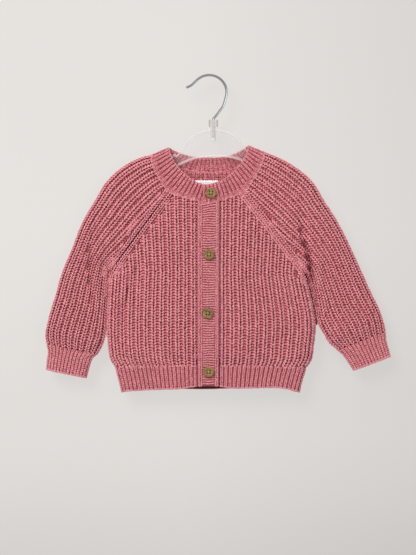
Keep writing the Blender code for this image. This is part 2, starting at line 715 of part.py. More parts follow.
def buttons(material):
    mesh = button_mesh(material)
    for number, (x, z) in enumerate(BUTTONS, start=1):
        flat = np.array([[[x, z]]], float)
        surface, _ = on_cloth(flat, -1, body_flatness(flat[..., 1]), LAP_SHIFT)
        button = bpy.data.objects.new(f"button_{number}", mesh)
        button.location = (x * MM, (surface[0, 0, 1] - SEAM_GAP) * MM, z * MM)
        bpy.context.collection.objects.link(button)


# ------------------------------------------------------------------ hanger


def tilted(x, z):
    """A point of the hanger, turned a little about the top of its plate."""
    turn = math.radians(HANGER_TILT)
    dx, dz = x, z - HANGER_ARM[0][1]
    return (HANGER_X + dx * math.cos(turn) - dz * math.sin(turn),
            HANGER_ARM[0][1] + dx * math.sin(turn) + dz * math.cos(turn))


def plate_ring(x, top, bottom):
    """A section through the plate: a thick rim along both edges and a thin web between."""
    rim = min(RIM_WIDE, (top - bottom) * 0.35)
    half = [(top, PLATE_HALF * 0.45), (top - 0.7, PLATE_HALF), (top - rim, PLATE_HALF),
            (top - rim - 0.6, WEB_HALF), (bottom + rim + 0.6, WEB_HALF), (bottom + rim, PLATE_HALF),
            (bottom + 0.7, PLATE_HALF), (bottom, PLATE_HALF * 0.45)]
    ring = [(x, -y, z) for z, y in half] + [(x, y, z) for z, y in reversed(half)]
    return [(*tilted(px, pz), py) for px, py, pz in ring]


def hanger_body(material):
    arm = HANGER_ARM
    stations = [(-x, t, b) for x, t, b in reversed(arm)] + [row for row in arm[1:]]
    bm = bmesh.new()
    rings = []
    for x, top, bottom in stations:
        rings.append([bm.verts.new((px, y, pz)) for px, pz, y in plate_ring(x, top, bottom)])
    for a, b in zip(rings, rings[1:]):
        for k in range(len(a)):
            n = (k + 1) % len(a)
            bm.faces.new((a[k], a[n], b[n], b[k]))
    for ring in (rings[0], rings[-1]):
        for k in range(len(ring) // 2 - 1):
            m = len(ring) - 1 - k
            bm.faces.new((ring[k], ring[k + 1], ring[m - 1], ring[m]))
    plate = add_object("hanger_body", bm, material)

    def post(name, radius, top, foot):
        shape = bmesh.new()
        made = bmesh.ops.create_cone(shape, cap_ends=True, segments=16, radius1=radius, radius2=radius,
                                     depth=top - foot)["verts"]
        x, z = tilted(0, (top + foot) / 2)
        bmesh.ops.translate(shape, verts=made, vec=(x, 0, z))
        return add_object(name, shape, material)

    neck = post("hanger_neck", NECK_RADIUS, NECK_TOP, NECK_FOOT)
    bore = post("shaft_bore", WIRE_RADIUS + SHAFT_CLEAR, NECK_TOP + 5, SHAFT_FOOT - SHAFT_CLEAR)
    ears = bmesh.new()
    made = bmesh.ops.create_cube(ears, size=1.0)["verts"]
    bmesh.ops.scale(ears, vec=(11.5, 3.6, 9.0), verts=made)
    bmesh.ops.translate(ears, vec=(HANGER_X + 0.4, 0, -56.5), verts=made)
    bmesh.ops.bevel(ears, geom=ears.edges[:], offset=0.8, segments=1, profile=0.5, affect="EDGES")
    collar = add_object("hanger_collar", ears, material)
    for tool, operation in ((neck, "UNION"), (collar, "UNION"), (bore, "DIFFERENCE")):
        change = plate.modifiers.new(tool.name, "BOOLEAN")
        change.object = tool
        change.operation = operation
        change.solver = "EXACT"
        tool.hide_render = True
        tool.display_type = "WIRE"
    return plate


def hanger_hook(material):
    """One bent wire: flared tip, round crook, straight run and the shaft in the hanger's neck."""
    start, end, count = HOOK_ARC
    arc = [(HOOK_CENTRE[0] + HOOK_RADIUS * math.cos(math.radians(a)),
            HOOK_CENTRE[1] + HOOK_RADIUS * math.sin(math.radians(a)))
           for a in np.linspace(start, end, count)]
    shaft = [tilted(0, z) for z in (NECK_TOP + 0.5, NECK_TOP - 1.5, -60.0, SHAFT_FOOT)]
    line = at_shares(smooth_line(HOOK_LINE + arc + HOOK_TAIL + shaft), np.linspace(0, 1, 44))
    curve = bpy.data.curves.new("hanger_hook", "CURVE")
    curve.dimensions = "3D"
    curve.bevel_depth = WIRE_RADIUS * MM
    curve.bevel_resolution = 2
    curve.use_fill_caps = True
    spline = curve.splines.new("POLY")
    spline.points.add(len(line) - 1)
    for point, (x, z) in zip(spline.points, line):
        point.co = (x * MM, 0, z * MM, 1)
    curve.materials.append(material)
    hook = bpy.data.objects.new("hanger_hook", curve)
    bpy.context.collection.objects.link(hook)
    return hook


# ------------------------------------------------------------------ the whole garment


def build():
    for obj in list(bpy.data.objects):
        bpy.data.objects.remove(obj)
    knit = new_material("rose_knit", (0.60, 0.17, 0.22), 0.9)
    ribbing = new_material("rose_ribbing", (0.56, 0.15, 0.20), 0.9)
    label = new_material("white_label", (0.86, 0.86, 0.86), 0.7)
    olive = new_material("olive_button", (0.25, 0.19, 0.08), 0.35)
    clear = new_material("clear_plastic", (0.85, 0.86, 0.88), 0.15, alpha=0.5)
    steel = new_material("bright_wire", (0.75, 0.76, 0.78), 0.15, metallic=1.0)
    back_panel(knit)
    for side in ("left", "right"):
        front_panel(side, knit)
        sleeve(side, knit)
        cuff(side, ribbing)
    hem_ribs(ribbing)
    neckband(ribbing)
    front_bands(ribbing)
    neck_label(label)
    buttons(olive)
    hanger_body(clear)
    hanger_hook(steel)


build()
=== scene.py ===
import math

import bmesh
import bpy
import numpy as np
from mathutils import Matrix, Vector


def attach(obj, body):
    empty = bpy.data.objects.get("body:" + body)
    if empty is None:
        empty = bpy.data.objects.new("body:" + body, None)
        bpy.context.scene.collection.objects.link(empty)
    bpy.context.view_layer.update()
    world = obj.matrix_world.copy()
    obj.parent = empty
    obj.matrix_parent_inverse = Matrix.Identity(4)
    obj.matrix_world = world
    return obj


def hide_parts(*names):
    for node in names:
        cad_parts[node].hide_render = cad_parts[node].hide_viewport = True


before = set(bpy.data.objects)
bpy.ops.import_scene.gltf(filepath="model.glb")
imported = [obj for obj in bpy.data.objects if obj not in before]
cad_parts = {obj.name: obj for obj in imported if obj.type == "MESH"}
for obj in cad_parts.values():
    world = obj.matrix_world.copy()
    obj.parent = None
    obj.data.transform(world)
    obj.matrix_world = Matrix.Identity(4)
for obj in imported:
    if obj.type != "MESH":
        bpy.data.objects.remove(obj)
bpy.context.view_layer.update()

# ---------------------------------------------------------------- the room
# A pale painted wall just behind the garment and a pale floor. Daylight comes through a large
# window on the upper left; a second one lights the garment's other side and a third its back.

MM = 0.001
WALL_COLOUR = (0.735, 0.713, 0.690)
FLOOR_COLOUR = (0.66, 0.63, 0.60)
WALL_PLACE = 18.0                 # behind the middle of the garment
FLOOR_HEIGHT = -1.1               # in metres, as the rest of the room is
# Most of the wall's and floor's light is a painted glow, so the windows' shadows on them stay faint;
# painted shade also darkens them towards the wall's foot and away from the window.
WALL_LIT = 0.16                   # how much of its light comes from the windows, which cast shadows
WALL_GLOW = 0.905                 # and how much comes evenly from the rest of the room
WALL_HEIGHTS = (-0.62, 0.10)      # the light grows from the lower height to the upper one,
WALL_ENDS = (0.80, 0.97)          # between these levels,
WALL_LEVELS = [(0.067, 0.849), (0.10, 0.868), (0.151, 0.903), (0.20, 0.929), (0.26, 0.955),
               (0.33, 0.955), (0.60, 1.0)]              # by way of these
WALL_SIDEWAYS = dict(From_Min=-0.03, From_Max=0.30, To_Min=1.0, To_Max=0.885)
GARMENT_MIDDLE = (0, 0, -0.25)
WINDOW_PLACE = (-1.2, -2.0, 1.25)
WINDOW_COLOUR = (1.0, 0.985, 0.965)
LENS_PLACE = (-0.0017, -1.5725, -0.2414)


def new_material(name):
    material = bpy.data.materials.new(name)
    material.use_nodes = True
    return material, material.node_tree, material.node_tree.nodes["Principled BSDF"]


def put(tree, kind, **settings):
    node = tree.nodes.new(kind)
    for key, value in settings.items():
        if hasattr(node, key):
            setattr(node, key, value)
        else:
            node.inputs[key.replace("_", " ")].default_value = value
    return node


def maths(tree, operation, a, b=None, c=None):
    node = tree.nodes.new("ShaderNodeMath")
    node.operation = operation
    for socket, value in zip(node.inputs, (a, b, c)):
        if value is None:
            continue
        if isinstance(value, (int, float)):
            socket.default_value = value
        else:
            tree.links.new(value, socket)
    return node.outputs[0]


def blend_colours(tree, factor, a, b, way="MIX"):
    node = put(tree, "ShaderNodeMix", data_type="RGBA", blend_type=way)
    for socket, value in ((node.inputs[0], factor), (node.inputs[6], a), (node.inputs[7], b)):
        if hasattr(value, "node"):
            tree.links.new(value, socket)
        else:
            socket.default_value = value
    return node.outputs[2]


def on_piece(tree, kind, **settings):
    """A node that reads places on the piece itself."""
    node = put(tree, kind, **settings)
    tree.links.new(put(tree, "ShaderNodeTexCoord").outputs["Object"], node.inputs["Vector"])
    return node


def join(tree, *pairs):
    for source, socket in pairs:
        tree.links.new(source, socket)


def mesh_of(name, bm):
    mesh = bpy.data.meshes.new(name)
    bm.to_mesh(mesh)
    bm.free()
    return mesh


def new_piece(name, mesh, *materials):
    for material in materials:
        mesh.materials.append(material)
    piece = bpy.data.objects.new(name, mesh)
    bpy.context.scene.collection.objects.link(piece)
    return piece


def finish_solid(node, material):
    """Give a solid of the frame, shown as it is, its material."""
    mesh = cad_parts[node].data
    mesh.materials.clear()
    mesh.materials.append(material)
    return mesh


def stage_sheet(name, width, length, place, turn, colour):
    material, tree, paint = new_material(name)
    mottle = on_piece(tree, "ShaderNodeTexNoise", Scale=2.2, Detail=2.0)
    shaded = blend_colours(tree, mottle.outputs["Fac"], (*colour, 1), (*[c * 0.985 for c in colour], 1))
    spot = on_piece(tree, "ShaderNodeSeparateXYZ")
    upwards = put(tree, "ShaderNodeMapRange", From_Min=WALL_HEIGHTS[0], From_Max=WALL_HEIGHTS[1])
    tree.links.new(spot.outputs["Z"], upwards.inputs["Value"])
    fade = put(tree, "ShaderNodeValToRGB")
    tree.links.new(upwards.outputs["Result"], fade.inputs["Fac"])
    stops = fade.color_ramp.elements
    for stop, level in zip(stops, WALL_ENDS):
        stop.color = (level, level, level, 1)
    for share, level in WALL_LEVELS:
        stops.new(share).color = (level, level, level, 1)
    sideways = put(tree, "ShaderNodeMapRange", **WALL_SIDEWAYS)
    tree.links.new(spot.outputs["X"], sideways.inputs["Value"])
    # painted shade: darker towards the foot of the wall and away from the window
    for shading in (fade.outputs["Color"], sideways.outputs["Result"]):
        shaded = blend_colours(tree, 1.0, shaded, shading, "MULTIPLY")
    # the windows light only a small share of it; the rest is painted glow
    lit = blend_colours(tree, 1.0, shaded, (WALL_LIT, WALL_LIT, WALL_LIT, 1), "MULTIPLY")
    tree.links.new(lit, paint.inputs["Base Color"])
    tree.links.new(shaded, paint.inputs["Emission Color"])
    paint.inputs["Emission Strength"].default_value = WALL_GLOW
    paint.inputs["Roughness"].default_value = 0.9
    choose = put(tree, "ShaderNodeMixShader")          # nothing of it shows from behind
    join(tree, (put(tree, "ShaderNodeNewGeometry").outputs["Backfacing"], choose.inputs[0]),
         (paint.outputs[0], choose.inputs[1]),
         (put(tree, "ShaderNodeBsdfTransparent").outputs[0], choose.inputs[2]),
         (choose.outputs[0], tree.nodes["Material Output"].inputs["Surface"]))
    bm = bmesh.new()
    bmesh.ops.create_grid(bm, x_segments=1, y_segments=1, size=0.5)
    bmesh.ops.scale(bm, vec=(width, length, 1), verts=bm.verts)
    bmesh.ops.rotate(bm, verts=bm.verts, cent=(0, 0, 0), matrix=Matrix.Rotation(turn, 3, "X"))
    bmesh.ops.translate(bm, vec=place, verts=bm.verts)
    sheet = new_piece(name, mesh_of(name, bm), material)
    sheet.visible_shadow = sheet.visible_diffuse = sheet.visible_glossy = False


stage_sheet("wall", 6, 4, (0, WALL_PLACE * MM, 0.9), math.pi / 2, WALL_COLOUR)
stage_sheet("floor", 6, 6, (0, WALL_PLACE * MM - 3, FLOOR_HEIGHT), 0, FLOOR_COLOUR)

for name, place, wide, tall, watts, colour, unseen in (
        ("window", WINDOW_PLACE, 1.3, 1.3, 62, WINDOW_COLOUR, "visible_glossy"),
        ("window_glint", WINDOW_PLACE, 0.5, 1.3, 1.6, WINDOW_COLOUR, "visible_diffuse"),
        ("side_window", (1.6, -1.9, -0.1), 1.4, 1.4, 8, (0.96, 0.98, 1.0), None),
        ("far_window", (1.2, 1.9, 0.7), 1.2, 1.2, 40, (1.0, 0.99, 0.975), "visible_glossy")):
    light = bpy.data.lights.new(name, "AREA")
    light.shape = "RECTANGLE"
    light.size, light.size_y = wide, tall
    light.energy, light.color = watts, colour
    lamp = new_piece(name, light)
    lamp.location = place
    lamp.rotation_euler = (Vector(GARMENT_MIDDLE) - Vector(place)).to_track_quat("-Z", "Y").to_euler()
    if unseen:
        setattr(lamp, unseen, False)
daylight = bpy.data.worlds.new("daylight")
daylight.use_nodes = True
daylight.node_tree.nodes["Background"].inputs["Color"].default_value = (1.0, 0.975, 0.955, 1)
daylight.node_tree.nodes["Background"].inputs["Strength"].default_value = 0.45
bpy.context.scene.world = daylight
bpy.context.scene.view_settings.view_transform = "Standard"

lens = bpy.data.cameras.new("camera")
lens.sensor_fit = "VERTICAL"
lens.sensor_height = 36
lens.lens = 85
camera = new_piece("camera", lens)
camera.location = LENS_PLACE
camera.rotation_euler = (math.pi / 2, 0, 0)
bpy.context.scene.camera = camera

# ---------------------------------------------------------------- the back and the two fronts
# Three flat pieces of soft rose cotton in half-cardigan rib. Their columns of stitches run straight
# up from the hem, and the raglan edges cut them; fashioned stitches follow each raglan seam.

# The cardigan's outlines, where it folds from front to back, seen from the front in millimetres: x
# to the viewer's right, z up from the top of the hook. The cloth stands off the middle plane by a
# depth that falls to nothing, round a soft fold, at these outlines.
SLEEVE_OUTER = {
    "right": [(-196, -321), (-197.3, -313), (-193.7, -292), (-185.3, -263.6), (-177, -234.8),
              (-165, -206), (-152, -173.5), (-137.3, -148.4), (-124, -126.8), (-109.7, -112.4),
              (-84.5, -98), (-69.5, -93.7)],
    "left": [(211.9, -305.6), (209.5, -295), (203.5, -278), (196.3, -263.6), (183, -234.8),
             (170, -206), (155.5, -177), (137.5, -148.4), (124.3, -126.8), (108.7, -112.4),
             (84.7, -98), (66.7, -90.8)],
}
SLEEVE_INNER = {
    "right": [(-133, -333), (-126.8, -322), (-123.9, -309), (-122.6, -285), (-119.8, -234.8)],
    "left": [(152.8, -328.4), (143.5, -321), (135.5, -308), (129.2, -297), (124.4, -270),
             (116.4, -238)],
}
CUFF_OUTER = {
    "right": [(-196, -321), (-193.9, -329), (-195, -340), (-196, -351)],
    "left": [(211.9, -305.6), (212.2, -315), (214.8, -325.5), (217.4, -335.4)],
}
CUFF_INNER = {
    "right": [(-133, -333), (-139.5, -338), (-143.5, -349), (-147, -361.4)],
    "left": [(152.8, -328.4), (159.5, -334.3), (166, -343.2), (172.0, -352.5)],
}
BODY_SIDE = {
    "right": [(-119.0, -234.8), (-121.2, -262), (-122.4, -290), (-122.4, -312), (-121.4, -326),
              (-118.6, -340), (-113.9, -347.6)],
    "left": [(115.6, -238), (122.0, -265), (126.8, -288), (127.6, -303), (125.5, -322),
             (122.2, -341), (117, -348.6)],
}
HEM_SIDE = {
    "right": [(-113.9, -347.6), (-111.4, -357), (-108.6, -368), (-106, -378.6)],
    "left": [(117, -348.6), (114.3, -357), (111.3, -368), (108.7, -378.6)],
}
NECK_TIP = {"right": (-49.7, -85.5), "left": (47.5, -83.0)}
FOLD_REACH = 15.0                 # how far in from an outline the soft fold goes on
FOLD_DEPTH = 10.0                 # half the thickness at its end
CHEST_FILL = 4.0                  # how much more the chest stands off,
CHEST_FROM = 30.0                 # from this far in
CHEST_REACH = 55.0                # and over this way
AT_FOLD = 0.2                     # this near an outline, the way in comes from the outline itself
STRAIGHT_OUT = 1e6
CREASE_SHARE = 0.72               # the most that a crease takes of the depth
HALF_GAP = 0.15                   # half the gap between two pieces
JUST_IN = 1e-6                    # a share this small keeps a point off the outline itself
FINELY = 60                       # points on a line that is measured, or spread over the cloth
FRONT, BACK = -1, 1


def smooth_line(table, per_span=8):
    """A smooth line through a table's points."""
    p = np.array(table, float)
    along = np.concatenate([[0.0], np.cumsum(np.hypot(*np.diff(p, axis=0).T))])
    slope = np.gradient(p, along, axis=0)
    spans = []
    for i in range(len(p) - 1):
        h = along[i + 1] - along[i]
        t = np.linspace(0, 1, per_span, endpoint=False)[:, None]
        spans.append((2 * t**3 - 3 * t**2 + 1) * p[i] + (t**3 - 2 * t**2 + t) * h * slope[i]
                     + (3 * t**2 - 2 * t**3) * p[i + 1] + (t**3 - t**2) * h * slope[i + 1])
    return np.vstack(spans + [p[-1:]])


def lengths(points, axis=0):
    """How far the points are along their line, or along a grid's lines that run this way."""
    steps = np.linalg.norm(np.diff(points, axis=axis), axis=-1)
    return np.insert(np.cumsum(steps, axis=axis), 0, 0.0, axis=axis)


def points_at(places, along, line):
    return np.stack([np.interp(places, along, line[:, i]) for i in range(line.shape[1])], axis=-1)


def at_shares(line, shares):
    along = lengths(line)
    return points_at(np.asarray(shares) * along[-1], along, line)


def eased(line, times):
    """A line whose points are drawn towards their neighbours."""
    for _ in range(times):
        line[1:-1] = (line[:-2] + 2 * line[1:-1] + line[2:]) / 4
    return line


def unit(vectors):
    return vectors / np.maximum(np.linalg.norm(vectors, axis=-1), 1e-12)[..., None]


def smooth_step(share):
    s = np.clip(share, 0.0, 1.0)
    return s * s * (3 - 2 * s)


def off_line(points, starts, ends):
    """How far flat points lie from a chain of straight pieces, the nearest piece and the way off it."""
    run = ends - starts
    size = np.maximum((run**2).sum(axis=1), 1e-12)
    rel = points[:, None, :] - starts[None]
    share = np.clip((rel * run[None]).sum(axis=2) / size[None], 0, 1)
    off = rel - share[..., None] * run[None]
    far = np.linalg.norm(off, axis=2)
    pick = far.argmin(axis=1)
    rows = np.arange(len(points))
    return far[rows, pick], pick, off[rows, pick]


def fold_lines():
    starts, ends, ways_in = [], [], []
    for side, turn in (("right", 1), ("left", -1)):
        shoulder = np.vstack([smooth_line(SLEEVE_OUTER[side]), [NECK_TIP[side]]])
        for line, hand in ((shoulder, turn), (smooth_line(CUFF_OUTER[side]), -turn),
                           (smooth_line(SLEEVE_INNER[side]), -turn),
                           (smooth_line(CUFF_INNER[side]), turn),
                           (smooth_line(BODY_SIDE[side]), -turn),
                           (smooth_line(HEM_SIDE[side]), -turn)):
            run = unit(np.diff(line, axis=0))
            starts.append(line[:-1])
            ends.append(line[1:])
            ways_in.append(hand * np.stack([run[:, 1], -run[:, 0]], axis=1))
    return np.vstack(starts), np.vstack(ends), np.vstack(ways_in)


FOLD_START, FOLD_END, FOLD_IN = fold_lines()


def depth_of(distance):
    """Half the garment's thickness at a distance from its outline, and how fast it grows."""
    inset = np.clip(1 - distance / FOLD_REACH, 0, 1)
    root = np.sqrt(np.maximum(1 - inset**2, 1e-9))
    fill = np.clip((distance - CHEST_FROM) / CHEST_REACH, 0, 1)
    depth = FOLD_DEPTH * root + CHEST_FILL * smooth_step(fill)
    growth = FOLD_DEPTH * inset / (FOLD_REACH * root) + CHEST_FILL * 6 * fill * (1 - fill) / CHEST_REACH
    return depth, growth


# The troughs that the hanging weight presses into the knitting: where each runs downwards, how deep
# it is, and how wide on its left and on its right.
CREASES = {
    -1: [([(-137, -166), (-144, -196), (-145, -230), (-142, -262), (-139, -292)], 3.8, 1.8, 5.5),
         ([(-127, -206), (-130, -240), (-134, -276)], 2.0, 1.8, 4.5),
         ([(106, -164), (109, -182), (112.5, -200), (116.5, -213), (120.2, -230), (121.5, -246),
           (124.5, -264), (127, -285), (129, -300)], 8.0, 2.2, 5.5),
         ([(131, -214), (139, -250), (147, -286)], 1.8, 2.5, 5.5),
         ([(-88, -219), (-93, -242), (-102, -268), (-104.5, -300), (-104, -326)], 3.2, 1.8, 5.5),
         ([(-82, -206), (-87, -248), (-92, -282)], 1.8, 1.6, 4.5),
         ([(101, -240), (104, -268), (102, -308)], 1.6, 2.5, 6.5),
         ([(-54, -146), (-72, -170), (-86, -190), (-100, -209), (-112, -225)], 4.2, 2.2, 2.0),
         ([(-42, -148), (-63.7, -171.7), (-82.2, -195), (-95.8, -217.2), (-104, -230)], 2.4, 1.5, 1.5),
         ([(-62, -332), (-30, -338), (-6, -336)], 1.2, 5.0, 5.0),
         ([(34, -160), (58, -190), (78, -214)], 1.0, 6.0, 6.0)],
    1: [([(-130, -158), (-141, -196), (-147, -240)], 2.8, 5.5, 4.0),
        ([(112, -168), (124, -204), (136, -238)], 2.8, 4.0, 5.0),
        ([(-97, -232), (-101, -268), (-96, -306)], 1.8, 7.0, 7.0),
        ([(96, -236), (101, -270), (94, -300)], 1.6, 6.0, 6.0),
        ([(-30, -150), (-12, -190), (-6, -236)], 1.2, 9.0, 9.0),
        ([(26, -146), (34, -200), (30, -250)], 1.0, 10.0, 10.0)],
}


def crease_depth(points, face):
    """How far the troughs press in the cloth at flat points of its front or back."""
    sunk = np.zeros(len(points))
    for side, troughs in CREASES.items():
        for table, depth, left_wide, right_wide in troughs:
            line = smooth_line(table)
            far, pick, off = off_line(points, line[:-1], line[1:])
            run = (line[1:] - line[:-1])[pick]
            wide = np.where(run[:, 0] * off[:, 1] > run[:, 1] * off[:, 0], right_wide, left_wide)
            along = np.sin(np.pi * (pick + 0.5) / len(line[1:])) ** 0.6
            sunk += np.where(face == side, depth * along * np.exp(-(far / wide) ** 2), 0)
    return sunk


def on_cloth(flat_points, face, flatness=1.0, shift=0.0):
    """Points of the garment's outer surface, seen flat as x and z, and the ways straight out of it."""
    shape = flat_points.shape[:-1]
    points = flat_points.reshape(-1, 2)
    face = np.broadcast_to(face, shape).reshape(-1).astype(float)
    flatness = np.broadcast_to(flatness, shape).reshape(-1)
    shift = np.broadcast_to(shift, shape).reshape(-1)
    far, pick, off = off_line(points, FOLD_START, FOLD_END)
    distance = np.maximum(far, 1e-9)
    inward = np.where((distance < AT_FOLD)[:, None], FOLD_IN[pick], off / distance[:, None])
    depth, growth = depth_of(distance)
    depth = depth - np.minimum(crease_depth(points, face), depth * CREASE_SHARE)
    y = face * np.maximum(depth * flatness, HALF_GAP)
    lean = np.where(face == 0, STRAIGHT_OUT, growth * flatness)
    out = unit(np.stack([-lean * inward[:, 0], face, -lean * inward[:, 1]], axis=1))
    place = np.stack([points[:, 0], y, points[:, 1]], axis=1) + shift[:, None] * out
    return place.reshape(*shape, 3), out.reshape(*shape, 3)


def spread_row(line, shares, face, flatness=1.0):
    """Flat points along a line, at shares of its length measured over the curved cloth."""
    fine = at_shares(line, (1 - np.cos(np.linspace(0, np.pi, FINELY))) / 2)
    along = lengths(on_cloth(fine, face, flatness)[0])
    return points_at(np.asarray(shares) * along[-1], along, fine)


# The yarn is slightly marled, two plies twisted together, matt and faintly hairy. Every leg of a
# stitch is a short bowed length of it, laid on the ground that the backs of the stitches make.
ROSE_LIGHT = (0.86, 0.373, 0.411)
ROSE_DEEP = (0.63, 0.188, 0.220)
ROSE_PAINTED_SHADE = (0.32, 0.053, 0.068)
# The ground is coloured far darker than the yarn: painted shade where it shows between the stitches.
GROUND_ROSE = (0.30, 0.050, 0.066)
INSIDE_ROSE = (0.50, 0.130, 0.165)
INSIDE_COLOURS = dict(Light=(0.66, 0.18, 0.22, 1), Deep=(0.36, 0.07, 0.10, 1))
TURN = 2 * math.pi


def new_group(name, inputs, outputs):
    group = bpy.data.node_groups.new(name, "ShaderNodeTree")
    for label, kind, value in inputs:
        socket = group.interface.new_socket(label, in_out="INPUT", socket_type=kind)
        socket.default_value = value
    for label, kind in outputs:
        group.interface.new_socket(label, in_out="OUTPUT", socket_type=kind)
    return (group, group.nodes.new("NodeGroupInput").outputs,
            group.nodes.new("NodeGroupOutput").inputs)


def along_cloth(tree, layer):
    """How far along and up the cloth or the strand a place lies."""
    parts = put(tree, "ShaderNodeSeparateXYZ")
    tree.links.new(put(tree, "ShaderNodeUVMap", uv_map=layer).outputs[0], parts.inputs[0])
    return parts.outputs["X"], parts.outputs["Y"]


spun, spun_in, spun_out = new_group(
    "spun_yarn",
    [("Light", "NodeSocketColor", (*ROSE_LIGHT, 1)), ("Deep", "NodeSocketColor", (*ROSE_DEEP, 1)),
     ("Painted_shade", "NodeSocketColor", (*ROSE_PAINTED_SHADE, 1)), ("Ply turns", "NodeSocketFloat", 2.0),
     ("Marl size", "NodeSocketFloat", 260.0)],
    [("Color", "NodeSocketColor"), ("Height", "NodeSocketFloat"), ("Roughness", "NodeSocketFloat")])
round_strand, up_strand = along_cloth(spun, "strand")
tone = put(spun, "ShaderNodeAttribute", attribute_name="tone").outputs["Fac"]
marl = on_piece(spun, "ShaderNodeTexNoise", Detail=3.0, Roughness=0.6)
spun.links.new(spun_in["Marl size"], marl.inputs["Scale"])
fuzz = on_piece(spun, "ShaderNodeTexNoise", Scale=2600.0, Detail=3.0, Roughness=0.7).outputs["Fac"]
# The grooves between the plies are coloured darker: painted shade.
twist = maths(spun, "MULTIPLY_ADD", round_strand, 3.0,
              maths(spun, "MULTIPLY", up_strand, spun_in["Ply turns"]))
ply = maths(spun, "POWER", maths(spun, "ABSOLUTE", maths(spun, "SINE", maths(
    spun, "MULTIPLY", twist, math.pi))), 0.6)
shade = maths(spun, "ADD", maths(spun, "MULTIPLY", tone, 0.30),
              maths(spun, "ADD", maths(spun, "MULTIPLY_ADD", marl.outputs["Fac"], 1.5, -0.72),
                    maths(spun, "MULTIPLY", ply, 0.42)))
# Painted shade: yarn whose tone is set below zero takes on the deep shaded colour; it is used for yarn
# lying in grooves, folds, seams and between a stitch's legs.
shade_amount = maths(spun, "MULTIPLY", tone, -0.7)
shade.node.use_clamp = shade_amount.node.use_clamp = True
open_colour = blend_colours(spun, shade, spun_in["Deep"], spun_in["Light"])
join(spun, (blend_colours(spun, shade_amount, open_colour, spun_in["Painted_shade"]), spun_out["Color"]),
     (maths(spun, "MULTIPLY_ADD", ply, 0.6, maths(spun, "MULTIPLY", fuzz, 0.5)), spun_out["Height"]),
     (maths(spun, "MULTIPLY_ADD", fuzz, 0.2, 0.72), spun_out["Roughness"]))

backs, backs_in, backs_out = new_group(
    "backs_of_stitches",
    [("Light", "NodeSocketColor", (*INSIDE_ROSE, 1)), ("Deep", "NodeSocketColor", (*GROUND_ROSE, 1)),
     ("Row pitch", "NodeSocketFloat", 3.4), ("Rib pitch", "NodeSocketFloat", 9.6)],
    [("Color", "NodeSocketColor"), ("Height", "NodeSocketFloat"), ("Roughness", "NodeSocketFloat")])
across_cloth, up_cloth = along_cloth(backs, "cloth")
across_rib = maths(backs, "COSINE", maths(
    backs, "MULTIPLY", maths(backs, "DIVIDE", across_cloth, backs_in["Rib pitch"]), TURN))
bowed_row = maths(backs, "MULTIPLY_ADD", across_rib, 0.16,
                  maths(backs, "DIVIDE", up_cloth, backs_in["Row pitch"]))
loop = maths(backs, "MULTIPLY_ADD", maths(
    backs, "SINE", maths(backs, "MULTIPLY", bowed_row, TURN)), 0.5, 0.5)
grit = on_piece(backs, "ShaderNodeTexNoise", Scale=900.0, Detail=3.0, Roughness=0.65).outputs["Fac"]
back_shade = maths(backs, "ADD", maths(backs, "MULTIPLY", loop, 0.6), maths(backs, "MULTIPLY", grit, 0.4))
join(backs, (blend_colours(backs, back_shade, backs_in["Deep"], backs_in["Light"]), backs_out["Color"]),
     (maths(backs, "MULTIPLY_ADD", grit, 0.3, loop), backs_out["Height"]),
     (maths(backs, "MULTIPLY_ADD", grit, 0.15, 0.8), backs_out["Roughness"]))


def knit_material(name, group, raise_mm, sheen, **values):
    """A matt cotton finish from one of the two groups above."""
    material, tree, shader = new_material(name)
    effect = put(tree, "ShaderNodeGroup", node_tree=group)
    for key, value in values.items():
        effect.inputs[key.replace("_", " ")].default_value = value
    relief = put(tree, "ShaderNodeBump", Strength=0.8, Distance=raise_mm * MM)
    join(tree, (effect.outputs["Height"], relief.inputs["Height"]),
         (relief.outputs["Normal"], shader.inputs["Normal"]),
         (effect.outputs["Color"], shader.inputs["Base Color"]),
         (effect.outputs["Roughness"], shader.inputs["Roughness"]))
    shader.inputs["Specular IOR Level"].default_value = 0.18
    shader.inputs["Sheen Weight"].default_value = sheen
    shader.inputs["Sheen Roughness"].default_value = 0.5
    shader.inputs["Sheen Tint"].default_value = (0.95, 0.62, 0.66, 1)
    return material


chunky_yarn = knit_material("chunky_rose_yarn", spun, 0.25, 0.22)
# painted shade: the ground is coloured far darker than the yarn
knit_ground = knit_material("knit_ground", backs, 0.5, 0.1, Light=(0.35, 0.055, 0.072, 1))
knit_inside = knit_material("knit_inside", backs, 0.8, 0.15, **INSIDE_COLOURS)

LEG_SHOULDER = (0.66, 0.84)        # where a leg's shoulder is along its half, and its girth there


def leg_template(sides):
    """One short length of yarn: a closed spindle, its points and faces, and its place on the strand."""
    bm = bmesh.new()
    bmesh.ops.create_uvsphere(bm, u_segments=sides, v_segments=4, radius=1)
    bm.verts.index_update()
    points = np.array([v.co for v in bm.verts])
    faces = [[v.index for v in f.verts] for f in bm.faces]
    bm.free()
    girth = np.hypot(points[:, 0], points[:, 1])
    middle = np.abs(points[:, 2]) < 0.1
    poles = girth < 1e-3
    turn = np.arctan2(points[:, 1], points[:, 0]) / TURN
    half = np.sign(points[:, 2])
    reach = np.where(poles, half, np.where(middle, 0, half * LEG_SHOULDER[0]))
    full = np.where(poles, 0, np.where(middle, 1.0, LEG_SHOULDER[1]))
    shape = np.stack([np.cos(turn * TURN) * full, np.sin(turn * TURN) * full, reach], axis=1)
    corners = []
    for face in faces:
        around = np.array([turn[i] for i in face])
        solid = np.array([not poles[i] for i in face])
        if around[solid].max() - around[solid].min() > 0.5:
            around = np.where(around < 0, around + 1, around)
        around = np.where(solid, around, around[solid].mean())
        corners += [(u, (reach[i] + 1) / 2) for u, i in zip(around, face)]
    loops = np.array([i for face in faces for i in face])
    return shape, loops, np.array([len(face) for face in faces]), np.array(corners)


LEGS = {sides: leg_template(sides) for sides in (5, 6)}
yarn_draws = np.random.default_rng(11)


